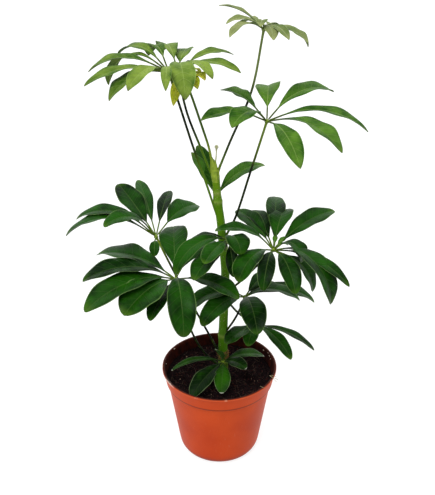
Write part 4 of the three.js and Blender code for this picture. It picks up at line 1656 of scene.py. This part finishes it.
LEAVES = (
    CompoundLeaf("leaf_top_right", PALE, (39, 28, 442.7), ((-3.8, 0, 313), (9, 7, 344), (29, 23.5, 388)), 9, (
        (159, 39, 11, 41, 46), (196, 30, 11, 39, 74), (224, 38, 14, 30, 76), (262, 29, 10, 42, 70),
        (280, 32, 13, 27, 74), (295, 39, 10, 24, 59), (321, 41, 17, 16, 55), (21, 45, 13, 8, 77),
        (69, 33, 13, 11, 79), (118, 36, 15, 18, 65))),
    CompoundLeaf("leaf_top_left", LIGHT, (-44, -10, 415), (
        (0.5, 0, 264), (-5, -0.8, 282), (-12, -2, 306), (-24, -4, 344), (-35, -7, 383)), 16, (
        (112, 50, 17, 36, 95), (134, 61, 14, 31, 75), (148, 71, 17, 26, 110), (179, 59, 20, 26, 68),
        (213, 66, 15, 18, 45), (225, 55, 21, 14, 62), (241, 50, 16, 24, 66), (271, 50, 9, 27, 69))),
    CompoundLeaf("leaf_top_middle", LIGHT, (-38, 20, 408), (
        (-2.6, 0, 298), (-7, 6, 311), (-18, 11, 339), (-30, 17, 370)), 14, (
        (37, 53, 15, 24, 51), (83, 47, 18, 15, 27), (104, 67, 20, 28, 70), (278, 66, 22, 33, 93),
        (304, 49, 14, 34, 74), (329, 55, 13, 27, 53))),
    CompoundLeaf("leaf_young", NEW, (-31, 2, 406), (
        (-6.5, 0, 318), (-9, 1, 338), (-18, 2, 368), (-25, 2, 390)), 7, (
        (60, 23, 8, 27, 81), (259, 40, 10, 11, 63), (290, 31, 11, 23, 56), (311, 24, 12, 35, 70))),
    CompoundLeaf("leaf_upper_right", BRIGHT, (42, -5, 369), (
        (2.9, 0, 246), (14, -4, 271), (28, -6, 320)), 15, (
        (32, 68, 23, 40, 71), (86, 59, 24, 36, 68), (152, 39, 26, 43, 50), (212, 57, 21, 28, 44),
        (236, 49, 22, 39, 76), (288, 68, 19, 11, 55), (320, 71, 28, 19, 65), (353, 82, 19, 24, 67))),
    CompoundLeaf("leaf_crown", MEDIUM, (-3, 9, 289), ((-1.5, 0, 283), (-2.3, 5, 286)), 4, (
        (33, 59, 19, 50, 64), (116, 54, 15, 60, 39), (140, 45, 16, 54, 8))),
    CompoundLeaf("leaf_left", DARK, (-62, 8, 247), (
        (3.8, 0, 106), (-11, -2, 140), (-23, 2, 163), (-45, 6, 208)), 18, (
        (48, 44, 29, 31, 48), (82, 56, 15, 24, 26), (106, 70, 16, 26, 22), (126, 59, 26, 28, 10),
        (172, 72, 20, 42, 82), (188, 80, 26, 39, 86), (209, 49, 20, 57, 93), (271, 19, 10, 15, 100))),
    CompoundLeaf("leaf_lower_left", DARK, (-42, -28, 220), (
        (3.8, 0, 96), (-8, 3, 104), (-19, 2, 119), (-30, -11, 154), (-37, -21, 188)), 12, (
        (61, 64, 24, 29, 52), (94, 68, 29, 35, 49), (160, 75, 37, 31, 54), (194, 82, 29, 35, 66),
        (217, 91, 31, 26, 59), (251, 52, 18, 6, 36), (236, 67, 36, 20, 49), (279, 75, 26, 32, 126),
        (337, 57, 24, 17, 55))),
    CompoundLeaf("leaf_base", LOWEST, (4, -9, 110), ((3.8, 0, 105), (4, -5, 107)), 3, (
        (21, 46, 14, 22, 60), (188, 55, 8, 26, 68), (230, 22, 11, 72, 25), (229, 50, 21, 0, 40),
        (267, 37, 17, -1, 37), (323, 28, 15, 35, 62))),
    CompoundLeaf("leaf_lower_middle", DARK, (25, -10, 189), (
        (3.8, 0, 137), (14, -6, 158), (19, -8, 170)), 6, (
        (7, 72, 21, 25, 74), (35, 48, 20, 22, 68), (55, 45, 16, 23, 40), (193, 58, 25, 34, 92),
        (225, 58, 23, 25, 70), (280, 59, 25, 29, 75), (350, 54, 23, 38, 81))),
    CompoundLeaf("leaf_right", DARK, (51, -20, 247), (
        (5, 0, 180), (13, -6, 197), (20, -9, 206), (36, -16, 228)), 13, (
        (32, 64, 24, 34, 38), (74, 46, 24, 46, 66), (85, 68, 20, 37, 50), (109, 58, 21, 30, 52),
        (122, 54, 21, 29, 36), (231, 50, 27, 24, 90), (257, 50, 16, 20, 87), (287, 52, 19, 14, 73),
        (334, 47, 19, -9, 80), (316, 82, 27, 27, 118), (325, 73, 14, 15, 57), (322, 35, 20, 47, 150),
        (176, 51, 18, 47, 73))),
    CompoundLeaf("leaf_middle", DARK, (8, -18, 257), ((3.5, 0, 237), (6, -10, 246)), 6, (
        (165, 41, 13, 17, 76), (208, 64, 20, 24, 102), (234, 52, 24, -6, 30), (243, 43, 19, 12, 34),
        (292, 33, 23, 49, 120), (281, 33, 13, -20, 54))),
    CompoundLeaf("leaf_lower_right", DARK, (38, 10, 143), ((5, 0, 186), (12, 5, 170), (21, 7, 158)), 5, (
        (227, 42, 21, 15, 36), (254, 32, 16, 20, 60), (308, 54, 15, 13, 58), (346, 63, 13, 3, 48))),
)

SPROUT = CompoundLeaf("leaf_right_sprout", MEDIUM, (51, -20, 247), (), 6, (
    (40, 13, 6, 38, 30), (8, 11, 5, 46, 95), (78, 10, 5, 55, 50)), node="leaf_right")


# Floor, light and camera.


@dataclass
class Studio:
    """A pale floor and backdrop, soft white light and a camera at the photograph's angle."""

    floor_size: float = 14.0
    floor_drop: float = 5e-5
    dome_sides: int = 48
    dome_rows: int = 12
    dome_margin: float = 0.1
    camera_place: Point = (-0.002, -0.688, 0.602)
    camera_tilt: float = 62.2
    lens: float = 58.18
    sensor: float = 36.0
    room_low: float = 0.55
    room_high: float = 1.4
    room_ends: Point = (0.2, 1.3)
    lamp_strength: float = 1.9
    lamp_spread: float = 30.0
    lamp_place: Point = (-0.25, -0.55, 1.0)

    def floor(self) -> None:
        """Lays the floor just under the pot."""
        reach = self.floor_size / 2
        ways = ((-1, -1), (1, -1), (1, 1), (-1, 1))
        corners = [(x * reach, y * reach, -self.floor_drop) for x, y in ways]
        sheet = make_mesh("floor", corners, [[0, 1, 2, 3]])
        PaperFinish("floor_paper").on(sheet)
        sheet.visible_diffuse = False

    def backdrop(self) -> None:
        """Puts a white dome over the floor. It shows behind the plant, and lets all light through."""
        reach = self.floor_size / 2 - self.dome_margin
        points = []
        for rise in np.linspace(0, math.pi / 2, self.dome_rows, endpoint=False):
            points += ring_at(reach * math.cos(rise), reach * math.sin(rise), self.dome_sides)
        faces = ring_faces(0, self.dome_rows - 1, self.dome_sides)
        last = (self.dome_rows - 1) * self.dome_sides
        faces += [[last + i, last + (i + 1) % self.dome_sides, len(points)] for i in range(self.dome_sides)]
        dome = make_mesh("backdrop", [*points, (0, 0, reach)], faces)
        PaperFinish("backdrop_paper", glow=1.0).on(dome)
        dome.visible_diffuse = False
        dome.visible_glossy = False
        dome.visible_shadow = False

    def light(self) -> None:
        """Hangs the lamps and whitens the surroundings."""
        scene = bpy.context.scene
        scene.view_settings.view_transform = "Standard"
        scene.world = bpy.data.worlds.new("white_room")
        scene.world.use_nodes = True
        kit = NodeKit(scene.world.node_tree)
        way = kit.add("ShaderNodeTexCoord", {}, {}, "Generated")
        glow = (way.part("Z") + way.part("Y")).step(*self.room_ends)
        room = scene.world.node_tree.nodes["Background"]
        room.inputs["Color"].default_value = (1, 1, 1, 1)
        kit.feed(room.inputs["Strength"], glow * (self.room_high - self.room_low) + self.room_low)
        lamp = bpy.data.lights.new("softbox", "SUN")
        lamp.energy = self.lamp_strength
        lamp.angle = math.radians(self.lamp_spread)
        hung = bpy.data.objects.new(lamp.name, lamp)
        hung.location = self.lamp_place
        hung.rotation_euler = Vector(self.lamp_place).to_track_quat("Z", "Y").to_euler()
        bpy.context.scene.collection.objects.link(hung)

    def camera(self) -> None:
        """Sets up the camera."""
        eye = bpy.data.cameras.new("camera")
        eye.lens = self.lens
        eye.sensor_width = self.sensor
        held = bpy.data.objects.new("camera", eye)
        held.location = self.camera_place
        held.rotation_euler = (math.radians(self.camera_tilt), 0, 0)
        bpy.context.scene.collection.objects.link(held)
        bpy.context.scene.camera = held

    def build(self) -> None:
        """Sets up the whole studio."""
        self.camera()
        self.floor()
        self.backdrop()
        self.light()


def main() -> None:
    """Builds the plant in order, from the studio and the pot up to its leaves."""
    logging.basicConfig(level=logging.INFO, format="%(message)s")
    Studio().build()
    Pot().build()
    Soil().build()
    RimLitter().build()
    Trunk().build()
    TipSheath().build()
    TipBud().build()
    for leaf in LEAVES:
        leaf.build()
    SPROUT.blades()


if __name__ == "__main__":
    main()
